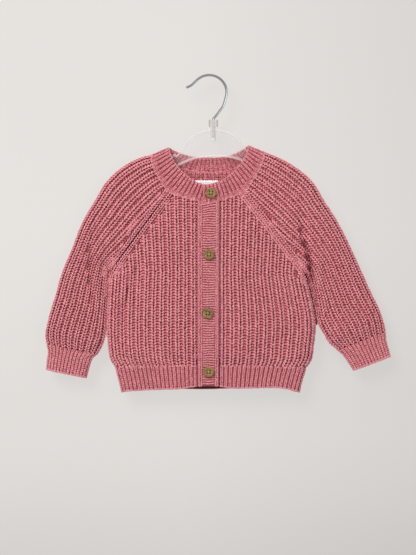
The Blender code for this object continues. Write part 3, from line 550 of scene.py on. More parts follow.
class Stitches:
    """Lengths of yarn waiting to be laid as one piece."""

    def __init__(self):
        self.waiting = {sides: [] for sides in LEGS}

    def add(self, start, end, out, bow, radius, sides=5, tone=0.0):
        one_each = start.shape[:1]
        self.waiting[sides].append((start, end, out, np.broadcast_to(bow, start.shape),
                                    np.broadcast_to(radius, one_each), np.broadcast_to(tone, one_each)))


YARN_WIDE, YARN_TALL = 1.18, 0.9   # a leg lies flatter than it is round
LOOSE = 0.15                       # how far a leg's ends stray, in yarn radii
UNEVEN = (0.88, 1.12)              # how thin and thick the yarn is spun
# Painted shade: yarn is coloured deeper for each millimetre it lies down a crease.
FOLD_SHADE = 0.20                     # how much deeper in colour the yarn is for each millimetre down a fold


def lay_stitches(name, stitches, material):
    """All the waiting lengths of yarn as one piece."""
    points, loops, sizes, corners, tones_and_shades, made = [], [], [], [], [], 0
    for sides, waiting in stitches.waiting.items():
        if not waiting:
            continue
        shape, leg_loops, leg_sizes, leg_corners = LEGS[sides]
        start, end, out, bow, radius, tone = (np.concatenate(part) for part in zip(*waiting))
        count, per = len(start), len(shape)
        # painted shade in the creases
        sunk = crease_depth(start[:, [0, 2]], np.sign(out[:, 1]))
        tone = tone - FOLD_SHADE * np.maximum(sunk - 1.0, 0.0)
        loose = LOOSE * radius[:, None]
        start = start + loose * yarn_draws.normal(0, 1, start.shape)
        end = end + loose * yarn_draws.normal(0, 1, end.shape)
        radius = radius * yarn_draws.uniform(*UNEVEN, count)
        run = unit(end - start)
        side = unit(np.cross(out, run))
        up = np.cross(run, side)
        x, y, t = shape.T
        line = start[:, None] + (end - start)[:, None] * ((1 + t) / 2)[None, :, None]
        line = line + bow[:, None] * (1 - t**2)[None, :, None]
        points.append((line + radius[:, None, None] * (
            YARN_WIDE * x[None, :, None] * side[:, None] + YARN_TALL * y[None, :, None] * up[:, None])
            ).reshape(-1, 3))
        loops.append((leg_loops[None] + (made + np.arange(count) * per)[:, None]).ravel())
        sizes.append(np.tile(leg_sizes, count))
        corners.append(np.tile(leg_corners, (count, 1)))
        # each leg's tone differs at random, on top of any painted shade set for it
        tones_and_shades.append(np.repeat(tone + yarn_draws.random(count), per))
        made += count * per
    points, loops, sizes = np.concatenate(points), np.concatenate(loops), np.concatenate(sizes)
    mesh = bpy.data.meshes.new(name)
    mesh.vertices.add(made)
    mesh.vertices.foreach_set("co", (points * MM).astype(np.float32).ravel())
    mesh.loops.add(len(loops))
    mesh.loops.foreach_set("vertex_index", loops.astype(np.int32))
    mesh.polygons.add(len(sizes))
    mesh.polygons.foreach_set("loop_start", np.concatenate([[0], np.cumsum(sizes)[:-1]]).astype(np.int32))
    mesh.update(calc_edges=True)
    mesh.uv_layers.new(name="strand").data.foreach_set(
        "uv", np.concatenate(corners).astype(np.float32).ravel())
    mesh.attributes.new("tone", "FLOAT", "POINT").data.foreach_set(
        "value", np.concatenate(tones_and_shades).astype(np.float32))
    mesh.shade_smooth()
    piece = new_piece(name, mesh, material)
    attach(piece, "root")
    return piece


def walk(flat, width, face, pitch, sink, flatness=1.0, start=0.3, shift=0.0):
    """Stitch places at an even pitch along a flat line laid on the cloth.

    Returns places, ways out, ways along, ways across and the local width.
    """
    place, out = on_cloth(flat, face, flatness, shift)
    place = place + sink * out
    along = lengths(place)
    last = along[-1] - 0.2 * pitch
    at = np.arange(start * pitch, last, pitch)
    if len(at) < 1:
        return None
    if last - at[-1] > 0.4 * pitch:
        at = np.append(at, last)
    run = np.gradient(place, along, axis=0)
    places, outs, runs = (points_at(at, along, values) for values in (place, out, run))
    outs, runs = unit(outs), unit(runs)
    return places, outs, runs, unit(np.cross(outs, runs)), np.interp(
        at, along, np.broadcast_to(width, along.shape))


CHUNKY_FROM = 1.05                 # yarn this thick is the body's own
USUAL_COLUMN = 8.8                 # the width of a column whose yarn has its full thickness
SQUEEZE = (0.66, 1.06)             # how thin and thick it gets in narrower and wider ones
# The core yarn is coloured deep: painted shade between a stitch's legs.
CORE_SINK, CORE_YARN, CORE_SHADE = 2.10, 0.85, -1.9   # the yarn that shows between a stitch's legs


def v_column(stitches, row, pitch, yarn=1.11, foot=0.055, head=0.335, lift=0.55, low=0.52, high=0.58,
             drop=0.9, tone=0.0):
    """A column of knit stitches: two bowed legs for each, close at the foot and apart at the head."""
    if row is None:
        return
    place, out, run, side, width = row
    chunky = yarn > CHUNKY_FROM
    squeeze = np.clip(width / USUAL_COLUMN, *SQUEEZE) if chunky else 1.0
    for hand in (-1, 1):
        start = place - run * low * pitch + side * (hand * foot * width)[:, None]
        end = place + run * high * pitch + side * (hand * head * width)[:, None]
        stitches.add(start - out * (0.1 if chunky else 0.25), end - out * drop, out + side * 0.5 * hand,
                     out * lift, yarn * squeeze, 6 if chunky else 5, tone)
    if chunky:
        behind = place[::2] - out[::2] * CORE_SINK
        stitches.add(behind - run[::2] * 1.1 * pitch, behind + run[::2] * 1.1 * pitch, out[::2], 0.0,
                     CORE_YARN, 5, CORE_SHADE)


NARROWEST_ARCH = 5.6               # no loop crosses a groove that is narrower


def arch_column(stitches, row, pitch, yarn=0.90, reach=0.27, sink=0.1, rise=0.50, tone=0.0):
    """The loops that cross a groove between two columns, each a low arch."""
    if row is None:
        return
    place, out, run, side, width = row
    wide = width > NARROWEST_ARCH
    place, out, run, side, width = (part[wide] for part in (place, out, run, side, width))
    if not len(place):
        return
    start = place - side * (reach * width)[:, None] - run * rise * 0.4 * pitch - out * sink
    end = place + side * (reach * width)[:, None] - run * rise * 0.4 * pitch - out * sink
    stitches.add(start, end, out, run * rise * pitch, yarn, 5, tone)


def chain(stitches, row, reach, yarn, bow, tone=0.0):
    """Short lengths of yarn that follow one another along a line."""
    place, out, run, side, width = row
    stitches.add(place - run * reach, place + run * reach, out, out * bow, yarn, 5, tone)


def turned_in(row):
    """The same stitches, showing on the inside."""
    place, out, run, side, width = row
    return place, -out, run, side, width


def in_region(points, region):
    """Which flat points lie inside a closed outline."""
    x, z = points[:, 0][:, None], points[:, 1][:, None]
    a, b = region, np.roll(region, -1, axis=0)
    crosses = (a[:, 1][None] > z) != (b[:, 1][None] > z)
    rise = np.where(b[:, 1] == a[:, 1], 1e-12, b[:, 1] - a[:, 1])
    at_x = a[:, 0][None] + (z - a[:, 1][None]) * ((b[:, 0] - a[:, 0]) / rise)[None]
    return (crosses & (x < at_x)).sum(axis=1) % 2 == 1


def kept_run(flat, region, margins):
    """The longest stretch of a line inside a region and clear of its edges."""
    keep = in_region(flat, region)
    for edge, clear in margins:
        keep &= off_line(flat, edge[:-1], edge[1:])[0] > clear
    best, first = (0, 0), None
    for i, ok in enumerate(np.append(keep, False)):
        if ok and first is None:
            first = i
        if not ok and first is not None:
            if i - first > best[1] - best[0]:
                best = (first, i)
            first = None
    return slice(*best)


def cloth_shell(name, surface, out, sink, thick, ground, inside, replaced):
    """The ground of a piece of knitting: a thin closed wall on the grid of its surface."""
    rows, columns = surface.shape[:2]
    outer = (surface - out * sink).reshape(-1, 3)
    bm = bmesh.new()
    bmesh.ops.create_grid(bm, x_segments=columns - 1, y_segments=rows - 1, size=1)
    bm.verts.ensure_lookup_table()
    order = sorted(range(len(bm.verts)), key=lambda i: (round(bm.verts[i].co.y, 5), bm.verts[i].co.x))
    lie = np.stack([lengths(surface, 1), lengths(surface, 0)], axis=2).reshape(-1, 2)
    uv = bm.loops.layers.uv.new("cloth")
    places = {}
    for k, i in enumerate(order):
        bm.verts[i].co = outer[k] * MM
        places[bm.verts[i]] = lie[k]
    for face in bm.faces:
        for loop in face.loops:
            loop[uv].uv = places[loop.vert]
    bm.normal_update()
    middle = (rows // 2) * columns + columns // 2
    if bm.verts[order[middle]].normal.dot(Vector(out.reshape(-1, 3)[middle])) < 0:
        bmesh.ops.reverse_faces(bm, faces=bm.faces)
        bm.normal_update()
    front = set(bm.faces)
    bmesh.ops.solidify(bm, geom=bm.faces[:], thickness=thick * MM)
    for face in bm.faces:
        face.material_index = 0 if face in front else 1
        face.smooth = True
    piece = new_piece(name, mesh_of(name, bm), ground, inside)
    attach(piece, "root")
    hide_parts(replaced)
    return piece


def knitted(name, node, surface, out, stitches, flat, sink, thick, ground, inside, yarn, slot):
    """A piece of knitting: its ground, with the stitches laid on it."""
    shell = cloth_shell(name, surface, out, sink, thick, ground, inside, node)
    laid = lay_stitches(name.replace("_cloth", "") + "_stitches", stitches, yarn)


NECK_CORNER = 3                   # the point of a neck seam where the raglan seam meets it
FRONT_NECK_SEAM = {
    "right": [(-69.5, -93.7), (-68.4, -106), (-62.4, -119.2), (-48.2, -138.8), (-35, -144.6),
              (-22.7, -148), (-8.9, -150.8), (11.5, -152.2)],
    "left": [(66.7, -90.8), (63.6, -104), (53.5, -123), (39.6, -140.2), (30, -144.6),
             (19.7, -147.8), (8, -151.4), (-8.2, -154.6)],
}
BACK_NECK_SEAM = {
    "right": [(-69.5, -93.7), (-64, -97.5), (-56, -101.5), (-44, -106.8), (-30, -111), (-15, -114),
              (0, -115)],
    "left": [(66.7, -90.8), (61.5, -95.5), (53.5, -100), (42, -105.4), (29, -110.6), (15, -113.8),
             (0, -115)],
}
BAND_EDGE = {"right": (-14.8, -14.3), "left": (12.6, 11.7)}
BAND_TOP = -151.5
BAND_BOTTOM = -371.0
HEM_SEAM = [(-113.9, -347.6), (-60, -346.6), (0, -345.6), (60, -346.6), (117, -348.6)]
HEM_FLAT = 0.80                   # how much flatter the drawn-in hem lies,
BLOUSE = 17.0                     # and the height over which the body fills out above it
SIDE_FLARE = 0.0008
ROW_PITCH = 3.4
LEG_SINK = -0.65                  # how far below the cloth's outer surface a column's yarn lies,
GROOVE_SINK = -2.75               # and the arches between two columns
RAGLAN_COLUMN = 3.1               # the fashioned column's middle, off the seam
RAGLAN_WIDTH = 6.8
TURN_EASED = 60                   # how many times its turn at the underarm is eased
RAGLAN_CLEAR = 5.2                # where the other columns stop
HEM_CLEAR = 6.0                   # from the hem's drawn-in end
CHEST_LEVEL = -300.0              # the columns are spaced evenly here
BODY_HEIGHTS = (-352, -90)        # from below the hem's seam to above the neck's
NECK_CLEAR = 0.25
BESIDE_SEAM = 12.0                # a column that starts this near a raglan seam is its fashioned one
SHORTEST_RUN = 8                  # points; a shorter stretch of a column is left out
OPEN_EDGE = 2.4                   # how far the right front's wales stop short of its open raglan seam
BODY_KNIT = dict(sink=2.75, thick=1.0, ground=knit_ground, inside=knit_inside, yarn=chunky_yarn,
                 slot="knit")
CORNER_LEGS = dict(pitch=3.0, yarn=1.0, foot=0.07, head=0.32)
LINK_ROW = 2.6                    # the linking stitches' own, along the raglan seams,
LINK_REACH = 1.9                  # half the length of one,
LINK_BOW = 0.1                    # and how far it bows out
# A short wale that fills each front's corner at the underarm, off the foot of its raglan seam.
FRONT_FILLER = {"front_right": [(5.5, -9.2), (8.0, -0.2), (13.0, 7.8)],
                "front_left": [(-2.6, -11.0), (-2.8, -3.0), (-6.5, 5.0)]}
# The chains down the back's side folds: share across the back, lowest point, sink, tone (darkened
# as painted shade in the fold), and how far behind the middle.
BACK_FOLDS = [(0.0, -312, -0.2, -0.6, 0.0), (1.0, -298, 0.2, -1.8, 5.0)]
# The columns of the back's inside that show in the neck.
INSIDE_PITCH = 4.8
INSIDE_COLUMNS = np.arange(-43.2, 44, INSIDE_PITCH)
INSIDE_FOOT, INSIDE_HEAD, INSIDE_CURVE = -158, -116.2, 0.0035


def band_x(side, z):
    top, bottom = BAND_EDGE[side]
    return top + (bottom - top) * (np.asarray(z) - BAND_TOP) / (BAND_BOTTOM - BAND_TOP)


def side_x(side, z):
    line = smooth_line(BODY_SIDE[side])[::-1]
    over = np.maximum(np.asarray(z) - line[-1, 1], 0)
    return np.interp(z, line[:, 1], line[:, 0]) * (1 + SIDE_FLARE * over)


def body_flatness(z):
    return HEM_FLAT + (1 - HEM_FLAT) * smooth_step((z - HEM_SEAM[0][1]) / BLOUSE)


def raglan_line(side, neck_seam):
    return np.array([BODY_SIDE[side][0], neck_seam[side][NECK_CORNER]], float)


def off_seam(seam):
    run = unit(seam[1] - seam[0])
    return np.array([run[1], -run[0]])


def neck_parts(side, neck_seam):
    """The neckband's seam from the raglan's corner on, over the body and over the sleeve."""
    seam = smooth_line(neck_seam[side])
    corner = np.abs(seam[:, 0] - neck_seam[side][NECK_CORNER][0]).argmin()
    return seam[corner:], seam[:corner + 1][::-1]


def seam_column(low_part, seam, above, low_width):
    """A column up the side of a piece that turns at the underarm and follows the raglan seam."""
    off = off_seam(seam)
    off = off if (off[1] > 0) == above else -off
    line = np.vstack([low_part, at_shares(seam, np.linspace(0.05, 1, 200)) + off * RAGLAN_COLUMN])
    turn = lengths(line)[len(low_part)] / lengths(line)[-1]
    shares = np.linspace(0, 1, 600)
    return eased(at_shares(line, shares), TURN_EASED), np.interp(
        shares, [0, turn - 0.06, turn + 0.03, 1], [low_width, low_width, RAGLAN_WIDTH, RAGLAN_WIDTH])


def fold_chain(stitches, line, sink, tone, behind=0.0):
    """A plain chain of yarn down a side fold, where sleeve and body rest on each other."""
    place, out, run, side, width = walk(line, 6.0, 0, 3.0, sink)
    place = place + np.array([0.0, behind, 0.0])
    chain(stitches, (place, out, run, side, width), 2.2, 2.0 if behind else 1.15, 0.3, tone)
    for aside in (-1.9, 1.9):
        chain(stitches, (place + np.array([0.0, aside, 0.0]), out, run, side, width), 1.9, 1.1, 0.2, tone)


def panel(name, edge_a, edge_b, upper, seams, columns, face, flat_size):
    """One flat piece: its ground, its columns of stitches and the arches between them."""
    ends = np.array([[edge_a(CHEST_LEVEL), CHEST_LEVEL], [edge_b(CHEST_LEVEL), CHEST_LEVEL]])
    hem = np.array(HEM_SEAM, float)
    upper = upper[upper[:, 0].argsort()]
    heights = np.linspace(*BODY_HEIGHTS, 700)

    def upright(share):
        return np.stack([edge_a(heights) + share * (edge_b(heights) - edge_a(heights)), heights], axis=1)

    def spread(shares):
        even = spread_row(ends, shares, face)
        return np.clip((even[:, 0] - ends[0, 0]) / (ends[1, 0] - ends[0, 0]), JUST_IN, 1 - JUST_IN)

    grid = []
    rows = np.linspace(0, 1, 30)
    for share in spread(np.linspace(0, 1, columns * 2 + 1)):
        line = upright(share)
        neck = np.interp(line[:, 0], upper[:, 0], upper[:, 1]) - NECK_CLEAR
        high = heights[(heights < neck).argmin() - 1]
        low = np.interp(line[0, 0], hem[:, 0], hem[:, 1]) + HALF_GAP
        z = low + rows * (high - low)
        grid.append(np.stack([np.interp(z, heights, line[:, 0]), z], axis=1))
    grid = np.array(grid).transpose(1, 0, 2)
    surface, out = on_cloth(grid, face, body_flatness(grid[..., 1]))

    reach = np.linspace(ends[:, 0].min() - 9, ends[:, 0].max() + 9, FINELY)
    over = np.stack([reach, np.interp(reach, hem[:, 0], hem[:, 1]) - 1.6], axis=1)
    region = np.vstack([over, [[ends[:, 0].max() + 30, -340]], upper[::-1] + [0, 1.5],
                        [[ends[:, 0].min() - 30, -340]]])
    open_edge = OPEN_EDGE if name == "front_right" else 0.0
    margins = [(seam, RAGLAN_CLEAR + open_edge) for seam in seams]
    deep_margins = [(seam, RAGLAN_CLEAR / 2 + open_edge * 2) for seam in seams]
    stitches = Stitches()
    arc = lengths(on_cloth(at_shares(ends, np.linspace(0, 1, 200)), face)[0])[-1]
    for k in range(2 * columns):
        share = spread([(k + 1) / (2 * columns)])[0]
        line = upright(share)
        beside = [seam for seam in seams if abs(line[0, 0] - seam[0, 0]) < BESIDE_SEAM]
        if k % 2 == 0 and beside:
            low_part = line[(line[:, 1] > hem[0, 1] - 0.5) & (line[:, 1] < beside[0][0, 1] - 5)]
            line, width = seam_column(low_part, beside[0], False, arc / columns)
            v_column(stitches, walk(line, width, face, ROW_PITCH, LEG_SINK, body_flatness(line[:, 1])),
                     ROW_PITCH)
            continue
        if k == 2 * columns - 1:
            line = line[line[:, 1] > hem[0, 1] + HEM_CLEAR]
        line = line[kept_run(line, region, margins if k % 2 == 0 else deep_margins)]
        if len(line) < SHORTEST_RUN:
            continue
        lay, sink = (v_column, LEG_SINK) if k % 2 == 0 else (arch_column, GROOVE_SINK)
        if k < 2 * columns - 1 or face == FRONT:
            lay(stitches, walk(line, arc / columns, face, ROW_PITCH, sink, body_flatness(line[:, 1])),
                ROW_PITCH)
    if face == BACK:
        for share, lowest, sink, tone, behind in BACK_FOLDS:
            line = upright(share)
            z = line[:, 1]
            fold_chain(stitches, line[(z > lowest) & (z < seams[0][0, 1] + 1)], sink, tone, behind)
            fold_chain(stitches, line[(z > hem[0, 1] + HEM_CLEAR) & (z <= lowest)], -1.2, 0.0)
        # Painted shade: these columns inside the garment are coloured darker.
        for x in INSIDE_COLUMNS:
            head = INSIDE_HEAD + x**2 * INSIDE_CURVE
            line = np.stack([np.full(FINELY, x), np.linspace(INSIDE_FOOT, head, FINELY)], axis=1)
            v_column(stitches, turned_in(walk(line, INSIDE_PITCH, face, ROW_PITCH, -4.3)), ROW_PITCH,
                     yarn=1.04, foot=0.10, head=0.26, lift=0.2, drop=0.2, tone=-0.7)
    else:
        line = upright(0.002)
        line = line[line[:, 1] > hem[0, 1] + HEM_CLEAR + 3]
        arch_column(stitches, walk(line[kept_run(line, region, [])], 8, face, ROW_PITCH, -1.9), ROW_PITCH)
        corner = seams[0][0] + np.array(FRONT_FILLER[name])
        v_column(stitches, walk(smooth_line(corner), 5.0, face, 3.0, -1.2), **CORNER_LEGS)
    if open_edge:
        beside = at_shares(seams[0], np.linspace(0.10, 0.93, 200)) + off_seam(seams[0]) * 6.9
        chain(stitches, walk(beside, 1.0, face, LINK_ROW, -1.5), LINK_REACH, 0.72, LINK_BOW)
    knitted(name, name + "_panel", surface, out, stitches, flat_size, **BODY_KNIT)


for side in ("right", "left"):
    seam = raglan_line(side, FRONT_NECK_SEAM)
    clear = HALF_GAP if side == "left" else -HALF_GAP
    panel(f"front_{side}", lambda z: band_x(side, z) + clear, lambda z: side_x(side, z),
          np.vstack([seam[:1], neck_parts(side, FRONT_NECK_SEAM)[0]]), [seam], 12, FRONT, (0.125, 0.215))

back_seams = [raglan_line(side, BACK_NECK_SEAM) for side in ("right", "left")]
back_upper = [np.vstack([seam[:1], neck_parts(side, BACK_NECK_SEAM)[0]])
              for side, seam in zip(("right", "left"), back_seams)]
panel("back", lambda z: side_x("right", z), lambda z: side_x("left", z),
      np.vstack([back_upper[0], back_upper[1][-2::-1]]), back_seams, 25, BACK, (0.265, 0.245))

# ---------------------------------------------------------------- the sleeves
# Each is one piece closed along the underarm. Its columns follow the outer fold from the cuff
# over the shoulder; the raglan seam cuts the inner ones, and two fashioned columns follow it.

UNDERARM_SHARE = 0.42              # how far up the sleeve its raglan seam begins
CUFF_FLAT = 0.72                   # how much flatter the drawn-in cuff lies,
BLOUSE_SHARE = 0.08                # and the share over which the sleeve fills out above it
SLEEVE_COLUMNS = 10
COLUMN_POINTS = 500
NECK_MIDDLE = (0.0, -112.0)
SLEEVE_PITCH = [(0.0, 7.2), (0.2, 8.3), (0.42, 8.0), (0.62, 8.0), (1.0, 7.8)]
# Where the innermost column would go on past the raglan seam, which cuts it and its neighbours.
PAST_RAGLAN = {
    ("right", FRONT): [(-119.8, -234.8), (-97, -222), (-75, -207), (-53, -188), (-36, -163)],
    ("left", FRONT): [(116.4, -238), (94, -225), (71, -209), (48, -189), (30, -163)],
    ("right", BACK): [(-119.8, -234.8), (-96, -216), (-72, -196), (-50, -172), (-31, -143)],
    ("left", BACK): [(116.4, -238), (94, -219), (70, -198), (48, -173), (29, -143)],
}
# Short wales that fill the corner between longer ones at the underarm.
UNDERARM_FILLER = {
    "right": [(-8.5, -3.7), (-5.5, 2.8), (-0.5, 9.5), (5.0, 15.8)],
    "left": [(5.5, -7.5), (3.0, -2.0), (-1.0, 4.0), (-6.0, 10.0)],
}
RAGLAN_FILLER = [(-98, -191), (-93.5, -182.5), (-88.5, -172.5)]   # one more, further up the right seam


def sleeve_flatness(share):
    return CUFF_FLAT + (1 - CUFF_FLAT) * smooth_step(share / BLOUSE_SHARE)


def wrap(front, back, flatness):
    """Front and back faces as one sheet round the outer fold, open only along the inner one."""
    flat = np.concatenate([front, back[:, -2::-1]], axis=1)
    face = np.concatenate([-np.ones(front.shape[1] - 1), [0], np.ones(back.shape[1] - 1)])
    return on_cloth(flat, face[None, :], flatness)


def inner_edge(side, above, shares):
    """A sleeve's inner fold, and the line that goes on from it above the underarm."""
    low = shares <= UNDERARM_SHARE
    return np.vstack([at_shares(smooth_line(SLEEVE_INNER[side]), shares[low] / UNDERARM_SHARE),
                      at_shares(above, (shares[~low] - UNDERARM_SHARE) / (1 - UNDERARM_SHARE))])


def sleeve_face(side, neck_seam, face, shares):
    """Flat points of one face of a sleeve: rows from cuff to neck, columns from fold to fold."""
    outer = at_shares(smooth_line(SLEEVE_OUTER[side]), shares)
    inner = inner_edge(side, raglan_line(side, neck_seam), shares)
    top = at_shares(neck_parts(side, neck_seam)[1], np.linspace(0, 1, FINELY))
    bow = top - (top[0] + np.linspace(0, 1, FINELY)[:, None] * (top[-1] - top[0]))
    grid = []
    reach = np.linspace(JUST_IN, 1 - JUST_IN, FINELY)[:, None]
    for r, share in enumerate(shares):
        line = inner[r] + reach * (outer[r] - inner[r]) + bow * share**3
        grid.append(spread_row(line, np.linspace(0, 1, 15), face, sleeve_flatness(share)))
    return np.array(grid)


def sleeve_columns(stitches, side, neck_seam, face):
    raglan = raglan_line(side, neck_seam)
    inner = smooth_line(SLEEVE_INNER[side])
    outer = smooth_line(SLEEVE_OUTER[side])
    neck = neck_parts(side, neck_seam)[1]
    beyond = neck + unit(np.array(NECK_MIDDLE) - neck) * 1.5
    region = np.vstack([outer, beyond[::-1], raglan[::-1], inner[::-1]])
    stations = np.linspace(0, 1, 141)
    edge = at_shares(outer, stations)
    guide = inner_edge(side, smooth_line(PAST_RAGLAN[side, face]), stations)
    flatness = sleeve_flatness(stations)
    pitch = np.interp(stations, *np.array(SLEEVE_PITCH).T)
    reach = JUST_IN + (1 - np.cos(np.linspace(0, np.pi, FINELY))) / 2 * (1 - 2 * JUST_IN)
    across = edge[:, None] + reach[None, :, None] * (guide - edge)[:, None]
    arcs = lengths(on_cloth(across, face, flatness[:, None])[0], 1)
    crowd = np.clip(SLEEVE_COLUMNS * pitch / arcs[:, -1] - 1, -0.1, 0.55)

    def column(k):
        share = k / SLEEVE_COLUMNS
        wanted = arcs[:, -1] * (share + crowd * share * (1 - share))
        flat = np.array([points_at(*station) for station in zip(wanted, arcs, across)])
        return at_shares(eased(flat, 6), np.linspace(0, 1, COLUMN_POINTS))

    flatness = np.interp(np.linspace(0, 1, COLUMN_POINTS), stations, flatness)
    solid_at = [on_cloth(column(step / 2), face, flatness)[0] for step in range(2 * SLEEVE_COLUMNS + 1)]
    # Painted shade: the arches in the grooves are coloured darker, more so on the left sleeve.
    groove_shade = -0.6 if side == "right" else -0.8
    margins = [(raglan, RAGLAN_CLEAR), (inner, 0.5),
               (np.array([SLEEVE_OUTER[side][0], SLEEVE_INNER[side][0]]), 0.3)]
    deep_margins = [(raglan, RAGLAN_CLEAR / 2)] + margins[1:]
    for step in range(1, 2 * SLEEVE_COLUMNS):
        line = column(step / 2)
        if step == 2 * SLEEVE_COLUMNS - 1:
            low_part = line[:int(COLUMN_POINTS * (UNDERARM_SHARE - 0.02))]
            line, width = seam_column(low_part, raglan, True, 6.5)
            wrist = inner[0, 1]
            flat_at = np.interp(line[:, 1], [wrist, wrist + 24], [CUFF_FLAT, 1.0])
            v_column(stitches, walk(line, width, face, ROW_PITCH, LEG_SINK, flat_at), ROW_PITCH)
            corner = np.vstack([at_shares(inner, np.linspace(0.70, 1.0, 30)),
                                at_shares(raglan, np.linspace(0.0, 0.16, 16))[1:]])
            corner = corner + np.array([-2.4 if side == "right" else 2.4, 0.6])
            v_column(stitches, walk(corner, 4.6, face, 2.8, -0.8), 2.8, yarn=1.0, foot=0.085, head=0.32,
                     lift=0.45, drop=1.1)
            continue
        width = np.linalg.norm(solid_at[step + 1] - solid_at[step - 1], axis=1)
        part = kept_run(line, region, margins if step % 2 else deep_margins)
        if part.stop - part.start < SHORTEST_RUN:
            continue
        lay, sink, tone = ((v_column, LEG_SINK, 0.0) if step % 2 else
                           (arch_column, GROOVE_SINK, groove_shade))
        lay(stitches, walk(line[part], width[part], face, ROW_PITCH, sink, flatness[part]), ROW_PITCH,
            tone=tone)
    # The linking chains are coloured darker: painted shade in the seam's groove.
    links = [(np.vstack([at_shares(inner, np.linspace(0.94, 1, 12)),
                         at_shares(raglan, np.linspace(0.01, 0.99, 240))]), -1.7, -1.0)]
    if (side, face) == ("right", FRONT):          # here the seam stands open along its middle
        links = [(at_shares(raglan, np.linspace(0.01, 0.10, 40)), -1.8, -1.2),
                 (at_shares(raglan, np.linspace(0.80, 0.99, FINELY)), -1.9, -1.0)]
    for line, sink, tone in links:
        chain(stitches, walk(line, 1.0, face, LINK_ROW, sink), LINK_REACH, 0.85, LINK_BOW, tone)
    fillers = [raglan[0] + np.array(UNDERARM_FILLER[side])]
    if (side, face) == ("right", FRONT):
        fillers.append(np.array(RAGLAN_FILLER))
    # On the left sleeve the fillers lie deeper and are coloured darker: painted shade at the underarm.
    for table in fillers:
        v_column(stitches, walk(smooth_line(table), 5.4, face, 3.0, -1.2 if side == "right" else -1.9),
                 tone=0.0 if side == "right" else -0.8, **CORNER_LEGS)
    if face == BACK:
        arch_column(stitches, walk(at_shares(outer, np.linspace(0.003, 0.985, 300)), 8.0, 0, ROW_PITCH,
                                   -1.7), ROW_PITCH)
        if side == "right":
            # coloured darker: painted shade in the fold
            fold_chain(stitches, at_shares(inner, np.linspace(0.36, 1.0, 200)), -0.2, -0.6)


for side in ("right", "left"):
    shares = np.linspace(0, 1, 51)
    surface, out = wrap(sleeve_face(side, FRONT_NECK_SEAM, FRONT, shares),
                        sleeve_face(side, BACK_NECK_SEAM, BACK, shares), sleeve_flatness(shares)[:, None])
    stitches = Stitches()
    sleeve_columns(stitches, side, FRONT_NECK_SEAM, FRONT)
    sleeve_columns(stitches, side, BACK_NECK_SEAM, BACK)
    knitted(f"sleeve_cloth_{side}", f"sleeve_{side}", surface, out, stitches, (0.175, 0.29), **BODY_KNIT)

# ---------------------------------------------------------------- the hem's rib
# Close ribs knitted on finer needles, drawn in under the body; the front is in two pieces that
# stop at the front bands, the back is one.

FRONT_HEM = [(-106, -378.6), (-98, -376.8), (-83, -375.8), (-64, -374.8), (-35, -373.6),
             (-13, -370.6), (10, -370.6), (22, -372.4), (51, -372.9), (75, -372.6), (90, -373.6),
             (99, -376.0), (108.7, -378.6)]
BACK_HEM = [(-106, -378.6), (-98, -376.5), (-64, -374.6), (-50, -374.6), (0, -375.6), (25, -374.6),
            (51, -372.8), (75, -372.4), (90, -373.4), (99, -375.8), (108.7, -378.6)]
RIB_ROW = 2.5
CHAIN_ROW = 2.4                   # the cast-off stitches' own
RIB_SINK = -0.62
FINE_YARN = 0.88
RIB_PITCHES = dict(Row_pitch=2.6, Rib_pitch=4.8)
RIB_LEGS = dict(lift=0.25, low=0.6, high=0.62, drop=0.15)

fine_yarn = knit_material("rib_rose_yarn", spun, 0.18, 0.22, Ply_turns=1.5, Marl_size=320.0,
                          Light=(0.83, 0.358, 0.392, 1), Deep=(0.60, 0.180, 0.210, 1))
# painted shade: the rib's ground is coloured far darker than its yarn
rib_ground = knit_material("rib_ground", backs, 0.3, 0.1, Light=(0.40, 0.075, 0.105, 1), **RIB_PITCHES)
# Painted shade: the hem's inside is coloured near black-red, for the shade inside the hem.
shaded_hem_inside = knit_material("shaded_hem_inside", backs, 0.5, 0.1, Light=(0.22, 0.035, 0.05, 1),
                           Deep=(0.08, 0.015, 0.02, 1), **RIB_PITCHES)
RIB_KNIT = dict(sink=1.35, thick=1.1, ground=rib_ground, yarn=fine_yarn, slot="ribbing")


def column_width(grid, c, face, flatness, shares):
    """How wide one column of a grid is, at shares of its length."""
    left, right = (on_cloth(grid[:, i], face, flatness)[0] for i in (c - 1, c + 1))
    return np.interp(shares, np.linspace(0, 1, len(grid)), np.linalg.norm(right - left, axis=1))


def rib_columns(stitches, grid, face, flatness, edge_row):
    """Close ribs down the columns of a grid, and the cast-off stitches along its free edge."""
    for c in range(1, grid.shape[1] - 1, 2):
        fine = at_shares(grid[:, c], np.linspace(0.0, 0.97, 40))
        width = column_width(grid, c, face, flatness, np.linspace(0, 1, 40))
        v_column(stitches, walk(fine, width, face, RIB_ROW, RIB_SINK, flatness, 0.4), RIB_ROW,
                 yarn=FINE_YARN, foot=0.12, head=0.23, **RIB_LEGS)
    rim = at_shares(edge_row, np.linspace(0.002, 0.998, 300))
    chain(stitches, walk(rim, 2.4, face, CHAIN_ROW, -0.7, flatness, 0.5), 1.5, 0.85, 0.3)


def hem_grid(start, end, bottom, ribs, face, rows=9):
    levels = np.linspace(0, 1, rows)
    a, b = at_shares(np.array(start, float), levels), at_shares(np.array(end, float), levels)
    seam, low = np.array(HEM_SEAM, float), smooth_line(bottom)
    grid = []
    for r, share in enumerate(levels):
        x = np.linspace(a[r, 0], b[r, 0], FINELY)
        reach = (x - x[0]) / (x[-1] - x[0])
        top_z = np.interp(a[0, 0] + reach * (b[0, 0] - a[0, 0]), seam[:, 0], seam[:, 1])
        low_z = np.interp(a[-1, 0] + reach * (b[-1, 0] - a[-1, 0]), low[:, 0], low[:, 1])
        line = np.stack([x, (top_z - HALF_GAP) * (1 - share) + low_z * share], axis=1)
        inset = (line[-1] - line[0]) * JUST_IN
        line[0] += inset
        line[-1] -= inset
        grid.append(spread_row(line, np.linspace(0, 1, 2 * ribs + 1), face, HEM_FLAT))
    return np.array(grid)


